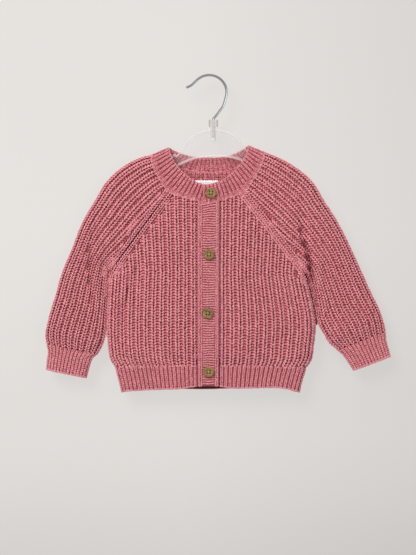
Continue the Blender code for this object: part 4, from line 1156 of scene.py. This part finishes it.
def hem_piece(name, node, start, end, bottom, ribs, face):
    grid = hem_grid(start, end, bottom, ribs, face)
    surface, out = on_cloth(grid, face, HEM_FLAT)
    stitches = Stitches()
    rib_columns(stitches, grid[::-1], face, HEM_FLAT, grid[-1])
    wide = lengths(surface[0])[-1] * MM * 1.02
    knitted(name, node, surface, out, stitches, (wide, 0.034), inside=shaded_hem_inside, **RIB_KNIT)


for side, clear in (("right", -HALF_GAP), ("left", HALF_GAP)):
    seam_z, low_z = HEM_SEAM[2][1], BAND_BOTTOM
    inner = [(band_x(side, seam_z) + clear, seam_z), (band_x(side, low_z) + clear, low_z)]
    hem_piece(f"hem_front_{side}", f"hem_rib_front_{side}", inner, HEM_SIDE[side], FRONT_HEM, 20, FRONT)
hem_piece("hem_back", "hem_rib_back", HEM_SIDE["right"], HEM_SIDE["left"], BACK_HEM, 44, BACK)

# ---------------------------------------------------------------- the cuffs
# The same close rib, knitted on from the sleeve and closed along the underarm seam.

CUFF_RIBS = 14

rib_inside = knit_material("rib_inside", backs, 0.5, 0.15, **INSIDE_COLOURS, **RIB_PITCHES)

for side in ("right", "left"):
    levels = np.linspace(0, 1, 9)
    outer = at_shares(smooth_line(CUFF_OUTER[side]), levels)
    inner = at_shares(smooth_line(CUFF_INNER[side]), levels)
    reach = np.linspace(JUST_IN, 1 - JUST_IN, FINELY)[:, None]
    grid = np.array([spread_row(inner[r] + reach * (outer[r] - inner[r]),
                                np.linspace(0, 1, 2 * CUFF_RIBS + 1), FRONT, CUFF_FLAT)
                     for r in range(len(levels))])
    surface, out = wrap(grid, grid, CUFF_FLAT)
    stitches = Stitches()
    for face in (FRONT, BACK):
        rib_columns(stitches, grid[::-1], face, CUFF_FLAT, grid[-1])
    knitted(f"cuff_cloth_{side}", f"cuff_{side}", surface, out, stitches, (0.155, 0.036),
            inside=rib_inside, **RIB_KNIT)

# ---------------------------------------------------------------- the neckband
# A close ribbed band joined to the neck edge by a chain of linking stitches. Its left front end
# laps over the right one, and it is cast off along the open edge.

NECK_PITCH = 5.0
NECK_ROW = 2.3
LAP_SHIFT = 1.6                   # how far out and in the two lapped front ends lie,
LAP_FROM = {"right": -20, "left": 21}   # where they begin to part,
LAP_BLEND = 9.0                   # and the way over which they do
NECK_LEGS = dict(pitch=NECK_ROW, foot=0.10, head=0.21, tone=-0.42, **RIB_LEGS)
# The legs in the rib's grooves are thinner and coloured darker: painted shade.
GROOVE_LEGS = dict(yarn=0.64, head=0.22, lift=0.2, tone=-0.8)
FRONT_NECK_EDGE = {
    "right": [(-49.7, -85.5), (-45.4, -97), (-38.3, -109.3), (-29.3, -118.6), (-19.9, -125.6),
              (-7.7, -130.4), (11.5, -132)],
    "left": [(47.5, -83), (43.8, -95.5), (33.8, -110.6), (22.8, -121), (11.3, -127.7),
             (3, -130.2), (-8.2, -131.8)],
}
BACK_NECK_EDGE = {
    "right": [(-49.7, -85.5), (-40, -90.4), (-28, -94.6), (-14, -97), (0, -97.6)],
    "left": [(47.5, -83), (38.5, -89), (27.5, -94), (14, -96.8), (0, -97.6)],
}


def lap_shift(x, side, face):
    """How far the lapped front ends lie out of or into the neckband's surface."""
    if face == BACK:
        return np.zeros_like(x)
    hand = 1 if side == "right" else -1
    return -hand * LAP_SHIFT * smooth_step(hand * (x - LAP_FROM[side]) / LAP_BLEND)


band_parts = [
    ("right", FRONT_NECK_SEAM["right"][::-1], FRONT_NECK_EDGE["right"][::-1], FRONT),
    ("right", BACK_NECK_SEAM["right"], BACK_NECK_EDGE["right"], BACK),
    ("left", BACK_NECK_SEAM["left"][::-1], BACK_NECK_EDGE["left"][::-1], BACK),
    ("left", FRONT_NECK_SEAM["left"], FRONT_NECK_EDGE["left"], FRONT),
]
neck_stitches = Stitches()
all_flat, all_faces, all_shift = [], [], []
for number, (side, seam_table, edge_table, face) in enumerate(band_parts):
    seam, edge = (at_shares(smooth_line(table), np.linspace(0, 1, FINELY))
                  for table in (seam_table, edge_table))
    ribs = round(lengths(on_cloth((seam + edge) / 2, face)[0])[-1] / NECK_PITCH)
    grid = np.array([spread_row((1 - row) * seam + row * edge, np.linspace(0, 1, 2 * ribs + 1), face)
                     for row in np.linspace(0, 1, 7)])
    kind = np.full(grid.shape[1], float(face))
    if number in (0, 2):               # the next part goes on over the shoulder's fold
        kind[-1] = 0
    first = min(number, 1)
    all_flat.append(grid[:, first:])
    all_faces.append(kind[first:])
    all_shift.append(lap_shift(grid[..., 0], side, face)[:, first:])

    def shift_at(line):
        return lap_shift(line[:, 0], side, face)

    for c in range(1, grid.shape[1] - 1, 2):
        rib = np.linspace(0.02, 0.95, 30)
        fine = at_shares(grid[:, c], rib)
        width = column_width(grid, c, face, 1.0, rib)
        row = walk(fine, width, face, NECK_ROW, RIB_SINK, 1.0, 0.4, shift_at(fine))
        v_column(neck_stitches, row, yarn=0.90, **NECK_LEGS)
        low = at_shares(grid[:, c + 1], np.linspace(0.0, 0.40, 24))
        between = walk(low, 2.4, face, NECK_ROW, RIB_SINK - 0.35, 1.0, 0.3,
                       shift_at(low) - 1.3 * np.linspace(0, 1, 24))
        v_column(neck_stitches, between, **{**NECK_LEGS, **GROOVE_LEGS})
        place, out, run, across, wide = (part[-1:] for part in row)
        cap = place + run * 1.5
        neck_stitches.add(cap - across * 1.3, cap + across * 1.3, out, run * 0.5, 0.8)
        if face == BACK:
            row = walk(fine, width, face, NECK_ROW, -2.9, 1.0, 0.4)
            v_column(neck_stitches, turned_in(row), yarn=1.0, **NECK_LEGS)
    fine_shares = np.linspace(0.003, 0.997, 260)
    rim = at_shares(smooth_line(edge_table), fine_shares)
    chain(neck_stitches, walk(rim, 2.4, face, CHAIN_ROW, -1.7, 1.0, 0.5, shift_at(rim)), 1.5, 0.8, 0.2)
    link = at_shares(smooth_line(seam_table), fine_shares)
    if face == BACK:
        chain(neck_stitches, walk(link, 2.4, face, CHAIN_ROW, -3.5, 1.0, 0.5), 1.6, 0.75, -0.25)
    chain(neck_stitches, walk(link, 2.4, face, CHAIN_ROW, -0.6, 1.0, 0.5, shift_at(link) * 0.6), 1.6, 0.65,
          0.2, -0.4)
surface, out = on_cloth(np.concatenate(all_flat, axis=1), np.concatenate(all_faces)[None, :], 1.0,
                        np.concatenate(all_shift, axis=1))
knitted("neckband_cloth", "neckband", surface, out, neck_stitches, (0.36, 0.022), inside=rib_inside,
        **RIB_KNIT)

# ---------------------------------------------------------------- the two front bands
# Narrow bands knitted sideways, in low rows that run across; a smooth selvedge column stands up
# along each long edge. The left front's band lies on top and has the buttonholes.

BUTTONS = [(1.8, -141.0), (-0.4, -213.9), (-2.0, -283.8), (-0.9, -353.5)]
BAND_CLEAR = 0.5                  # from the neckband's seam down to the bands' own tops
BAND_ROW = 2.9
SELVEDGES = [(0.130, 6.0, 0.31, 1.04), (0.885, 4.8, 0.27, 0.94)]   # share across, width, head, yarn
ROWS_BETWEEN = (0.245, 0.785)
THREAD_CLEAR = 3.4                # the ground shows in a button's holes, this far from its middle
BUTTON_RIM = 6.0                  # and the rows are pressed in round its rim,
RIM_WIDE = 2.2                    # this wide

band_ground = knit_material("band_ground", backs, 0.3, 0.1, Row_pitch=3.3, Rib_pitch=3.5,
                            Light=(0.54, 0.15, 0.18, 1), Deep=(0.40, 0.09, 0.12, 1))


def front_band(name, node, left_inset, side, shift):
    top = smooth_line(FRONT_NECK_SEAM[side])
    top = top[top[:, 0].argsort()]
    across = np.linspace(0, 1, 17)
    rows = np.linspace(0, 1, FINELY)
    z = BAND_TOP + (BAND_BOTTOM - BAND_TOP) * rows
    left = band_x("left", z) - HALF_GAP - left_inset
    right = band_x("right", z) + HALF_GAP
    grid = np.zeros((len(rows), len(across), 2))
    for c, share in enumerate(across):
        x = right + (left - right) * share
        high = np.interp(x, top[:, 0], top[:, 1]) - BAND_CLEAR
        grid[:, c] = np.stack([x, high + (BAND_BOTTOM - high) * rows], axis=1)
    surface, out = on_cloth(grid, FRONT, body_flatness(grid[..., 1]), shift)
    stitches = Stitches()

    def upright(share):
        return np.array([points_at(share, across, row) for row in grid])

    for share, wide, head, yarn in SELVEDGES:
        line = upright(share)[::-1]
        row = walk(line, wide, FRONT, ROW_PITCH, -0.55, body_flatness(line[:, 1]), 0.4, shift)
        v_column(stitches, row, ROW_PITCH, yarn=yarn, foot=0.12, head=head, lift=0.3, low=0.62, high=0.64,
                 drop=0.2)
    row_ends = [upright(share) for share in ROWS_BETWEEN]
    for level in np.arange(1.6, BAND_TOP - BAND_BOTTOM - 1.5, BAND_ROW):
        z = BAND_TOP - level + 1.2 * math.exp(-level / 12)
        x = np.linspace(*(np.interp(-z, -edge[:, 1], edge[:, 0]) for edge in row_ends), 30)
        tilt = (np.interp(x, top[:, 0], top[:, 1]) - BAND_TOP) * math.exp(-level / 16)
        line = np.stack([x, z + tilt + 0.35 * np.sin(x / 3.1 + level / 9)], axis=1)
        near = np.hypot(*(line[:, None] - np.array(BUTTONS)).transpose(2, 0, 1)).min(axis=1)
        row = walk(line, 1.0, FRONT, 1.75, -0.75, body_flatness(line[:, 1]), 0.5, shift)
        place, out_here, run, aside, width = row
        lean = np.where((np.arange(len(place)) + round(level)) % 2 == 0, 1.0, -1.0)[:, None] * 0.5
        near = np.interp(np.linspace(0, 1, len(place)), np.linspace(0, 1, len(near)), near)
        clear = near > THREAD_CLEAR
        # Round a button's rim the rows are pressed in and coloured darker: painted shade round the button.
        pressed_and_shaded = np.exp(-((near - BUTTON_RIM) / RIM_WIDE) ** 2)
        place = place - out_here * (pressed_and_shaded * 0.5)[:, None]
        reach = run * 1.2 + aside * lean
        out_here, pressed_and_shaded = out_here[clear], pressed_and_shaded[clear]
        stitches.add((place - reach)[clear], (place + reach)[clear], out_here, out_here * 0.35, 0.92, 5,
                     0.05 - 0.9 * pressed_and_shaded)
    knitted(name, node, surface, out, stitches, (0.0275, 0.224), inside=rib_inside,
            **{**RIB_KNIT, "sink": 1.3, "ground": band_ground})


front_band("top_band", "buttonhole_band", 0.0, "left", LAP_SHIFT)
front_band("under_band", "button_band", 1.0, "right", -LAP_SHIFT)

# ---------------------------------------------------------------- the label
# A bare white woven label with folded ends, sewn inside the back just under the neckband.

LABEL_SPAN = (-17.6, 11.0)
LABEL_TOP = -124.0
LABEL_TALL = 36.0
LABEL_SINK = -5.2                 # inside the cloth's outer surface

label_x = np.linspace(*LABEL_SPAN, 15)
label_z = np.linspace(LABEL_TOP, LABEL_TOP - LABEL_TALL, 19)
surface, out = on_cloth(np.stack(np.meshgrid(label_x, label_z), axis=2), BACK, 1.0, LABEL_SINK)
white, tree, shader = new_material("white_label")
satin = on_piece(tree, "ShaderNodeTexWave", Scale=2400.0, Distortion=0.4)
tree.links.new(blend_colours(tree, satin.outputs["Fac"], (0.96, 0.96, 0.97, 1), (1.0, 1.0, 1.0, 1)),
               shader.inputs["Base Color"])
shader.inputs["Roughness"].default_value = 0.55
label = cloth_shell("label", surface, out, 0.0, 0.6, white, white, "neck_label")

# ---------------------------------------------------------------- the buttons
# Turned olive buttons with a raised rim and four holes, sewn on with a cross of pale thread.

BUTTON_RADIUS = 6.25
BUTTON_THICK = 2.4
BUTTON_SHANK = 1.2                # the thread between button and band
HOLE_PLACE = 1.55
HOLE_RADIUS = 1.0
BUTTON_PROFILE = [(0.0, 1.45), (3.4, 1.45), (4.0, 1.6), (4.6, 2.15), (5.1, BUTTON_THICK),
                  (5.6, 2.32), (6.05, 1.95), (BUTTON_RADIUS, 1.3), (6.05, 0.6), (5.4, 0.1), (0.0, 0.0)]

THREAD_DOWN = 1.35                # how far above the button's back the thread crosses it
THREAD_HALF = 1.75                # half the length of one stitch of thread

olive, tree, shader = new_material("olive_button")
horn = on_piece(tree, "ShaderNodeTexNoise", Scale=330.0, Detail=4.0, Roughness=0.6, Distortion=1.2)
grain = on_piece(tree, "ShaderNodeTexNoise", Scale=1600.0, Detail=2.0).outputs["Fac"]
horn_ramp = put(tree, "ShaderNodeValToRGB")
for stop, share, colour in zip(horn_ramp.color_ramp.elements, (0.30, 0.70),
                               ((0.125, 0.075, 0.022, 1), (0.400, 0.275, 0.102, 1))):
    stop.position, stop.color = share, colour
horn_bump = put(tree, "ShaderNodeBump", Strength=0.25, Distance=0.1 * MM)
join(tree, (horn.outputs["Fac"], horn_ramp.inputs["Fac"]),
     (horn_ramp.outputs["Color"], shader.inputs["Base Color"]),
     (maths(tree, "MULTIPLY_ADD", grain, 0.25, 0.28), shader.inputs["Roughness"]),
     (grain, horn_bump.inputs["Height"]),
     (horn_bump.outputs["Normal"], shader.inputs["Normal"]))
thread, tree, shader = new_material("pale_thread")
strands = on_piece(tree, "ShaderNodeTexNoise", Scale=2200.0)
tree.links.new(blend_colours(tree, strands.outputs["Fac"], (0.34, 0.235, 0.125, 1), (0.56, 0.43, 0.275, 1)),
               shader.inputs["Base Color"])
shader.inputs["Roughness"].default_value = 0.7


def closed_piece(name, bm, *materials):
    """A closed mesh, drawn in millimetres, as an object in metres."""
    bmesh.ops.recalc_face_normals(bm, faces=bm.faces)
    if bm.calc_volume(signed=True) < 0:
        bmesh.ops.reverse_faces(bm, faces=bm.faces)
    bmesh.ops.scale(bm, vec=(MM, MM, MM), verts=bm.verts)
    return new_piece(name, mesh_of(name, bm), *materials)


for number, (x, z) in enumerate(BUTTONS, start=1):
    seat, _ = on_cloth(np.array([[x, z]], float), FRONT, body_flatness(np.array([z])), LAP_SHIFT)
    y = seat[0, 1] - BUTTON_SHANK
    bm = bmesh.new()
    profile = [bm.verts.new((r, -h, 0)) for r, h in BUTTON_PROFILE]
    for a, b in zip(profile, profile[1:]):
        bm.edges.new((a, b))
    bmesh.ops.spin(bm, geom=bm.verts[:] + bm.edges[:], angle=2 * math.pi, steps=48, axis=(0, 1, 0),
                   cent=(0, 0, 0), use_merge=True)
    bmesh.ops.remove_doubles(bm, verts=bm.verts, dist=0.001)
    bmesh.ops.rotate(bm, verts=bm.verts, cent=(0, 0, 0), matrix=Matrix.Rotation(0.4 * number, 3, "Y"))
    bmesh.ops.translate(bm, vec=(x, y, z), verts=bm.verts)
    disc = closed_piece(f"sewn_button_{number}", bm, olive)
    holes = bmesh.new()
    for sx in (-1, 1):
        for sz in (-1, 1):
            made = bmesh.ops.create_cone(holes, cap_ends=True, segments=14, radius1=HOLE_RADIUS,
                                         radius2=HOLE_RADIUS, depth=9)["verts"]
            bmesh.ops.rotate(holes, verts=made, cent=(0, 0, 0), matrix=Matrix.Rotation(math.pi / 2, 3, "X"))
            bmesh.ops.translate(holes, verts=made, vec=(sx * HOLE_PLACE + x, y, sz * HOLE_PLACE + z))
    cutter = closed_piece("holes", holes)
    cut = disc.modifiers.new("holes", "BOOLEAN")
    cut.object, cut.operation, cut.solver = cutter, "DIFFERENCE", "EXACT"
    drilled = bpy.data.meshes.new_from_object(disc.evaluated_get(bpy.context.evaluated_depsgraph_get()))
    disc.modifiers.clear()
    disc.data = drilled
    bpy.data.objects.remove(cutter)
    disc.data.shade_smooth()
    disc.data.set_sharp_from_angle(angle=math.radians(40))
    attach(disc, "root")
    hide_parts(f"button_{number}")
    thread_legs = Stitches()
    for dx, dz, rise in ((1, 1, 0.62), (1, -1, 0.30)):
        for beside in (-0.24, 0.24):
            way = unit(np.array([[dx, 0, dz]], float))
            off = np.array([[-dz, 0, dx]], float) / math.sqrt(2) * beside
            centre = np.array([[x, y - THREAD_DOWN, z]], float) + off
            thread_legs.add(centre - way * THREAD_HALF, centre + way * THREAD_HALF,
                            np.array([[0, -1.0, 0]]), np.array([[0, -rise, 0]]), 0.26)
    lay_stitches(f"button_thread_{number}", thread_legs, thread)

# ---------------------------------------------------------------- the hanger
# One moulding in clear plastic: a domed plate with a thick rim round a frosted web, two sloping
# arms inside the shoulders, and a neck into which the wire is pressed.

NECK_X = 4.8                      # the hanger's neck, to the side of the hook's top
EARS_DOWN = 56.0                  # the two small ears beside it, below the hook's top
EAR_REACH = 9.0

glass, tree, shader = new_material("clear_plastic")
spot = on_piece(tree, "ShaderNodeSeparateXYZ")
off_middle = maths(tree, "MULTIPLY", maths(tree, "ABSOLUTE", spot.outputs["Y"]), 1 / MM)
thick_rim = maths(tree, "MULTIPLY_ADD", off_middle, 2.5, -2.75)
ripple = on_piece(tree, "ShaderNodeTexNoise", Scale=90.0, Detail=3.0).outputs["Fac"]
haze = blend_colours(tree, ripple, (0.60, 0.55, 0.58, 1), (0.72, 0.67, 0.69, 1))
off_neck = maths(tree, "ABSOLUTE", maths(tree, "MULTIPLY_ADD", spot.outputs["X"], 1 / MM, -NECK_X))
off_ears = maths(tree, "ABSOLUTE", maths(tree, "MULTIPLY_ADD", spot.outputs["Z"], 1 / MM, EARS_DOWN))
beside_neck = maths(tree, "MULTIPLY_ADD", off_neck, 1.2, -3.6)
level_with_ears = maths(tree, "MULTIPLY_ADD", off_ears, -0.5, 2.9)
for mask in (thick_rim, beside_neck, level_with_ears):
    mask.node.use_clamp = True
near_ears = maths(tree, "MULTIPLY", maths(tree, "MULTIPLY", beside_neck, level_with_ears),
                  maths(tree, "LESS_THAN", off_neck, EAR_REACH))
# Painted highlight: the thick rim is coloured whiter and made more opaque, for the light it catches.
rim_highlight = blend_colours(tree, thick_rim, haze, (0.84, 0.80, 0.79, 1))
web_alpha = maths(tree, "MULTIPLY_ADD", ripple, 0.05, 0.055)
join(tree, (blend_colours(tree, near_ears, rim_highlight, (0.30, 0.24, 0.20, 1)), shader.inputs["Base Color"]),
     (maths(tree, "MULTIPLY_ADD", ripple, 0.12, 0.10), shader.inputs["Roughness"]),
     (maths(tree, "MULTIPLY_ADD", thick_rim, 0.27, web_alpha), shader.inputs["Alpha"]))
shader.inputs["IOR"].default_value = 1.49
shader.inputs["Coat Weight"].default_value = 0.3
finish_solid("hanger_body", glass)

# ---------------------------------------------------------------- the hook
# Bright plated wire, bent to a round crook with a flared tip, pressed into the hanger's neck.

chrome, tree, shader = new_material("bright_wire")
drawn = on_piece(tree, "ShaderNodeTexNoise", Scale=400.0, Detail=3.0).outputs["Fac"]
shader.inputs["Metallic"].default_value = 1.0
# Painted reflection: the wire's side facing right and up is coloured dark, for the dark room it would
# reflect.
outward = put(tree, "ShaderNodeSeparateXYZ")
tree.links.new(put(tree, "ShaderNodeNewGeometry").outputs["Normal"], outward.inputs[0])
painted_dark_side = maths(tree, "MULTIPLY_ADD", outward.outputs["X"], 1.7,
               maths(tree, "MULTIPLY_ADD", outward.outputs["Z"], 1.0, -0.55))
painted_dark_side.node.use_clamp = True
plated = blend_colours(tree, drawn, (0.52, 0.54, 0.55, 1), (0.66, 0.68, 0.69, 1))
tree.links.new(blend_colours(tree, painted_dark_side, plated, (0.12, 0.14, 0.14, 1)), shader.inputs["Base Color"])
tree.links.new(maths(tree, "MULTIPLY_ADD", drawn, 0.10, 0.20), shader.inputs["Roughness"])
finish_solid("hanger_hook", chrome).shade_smooth()
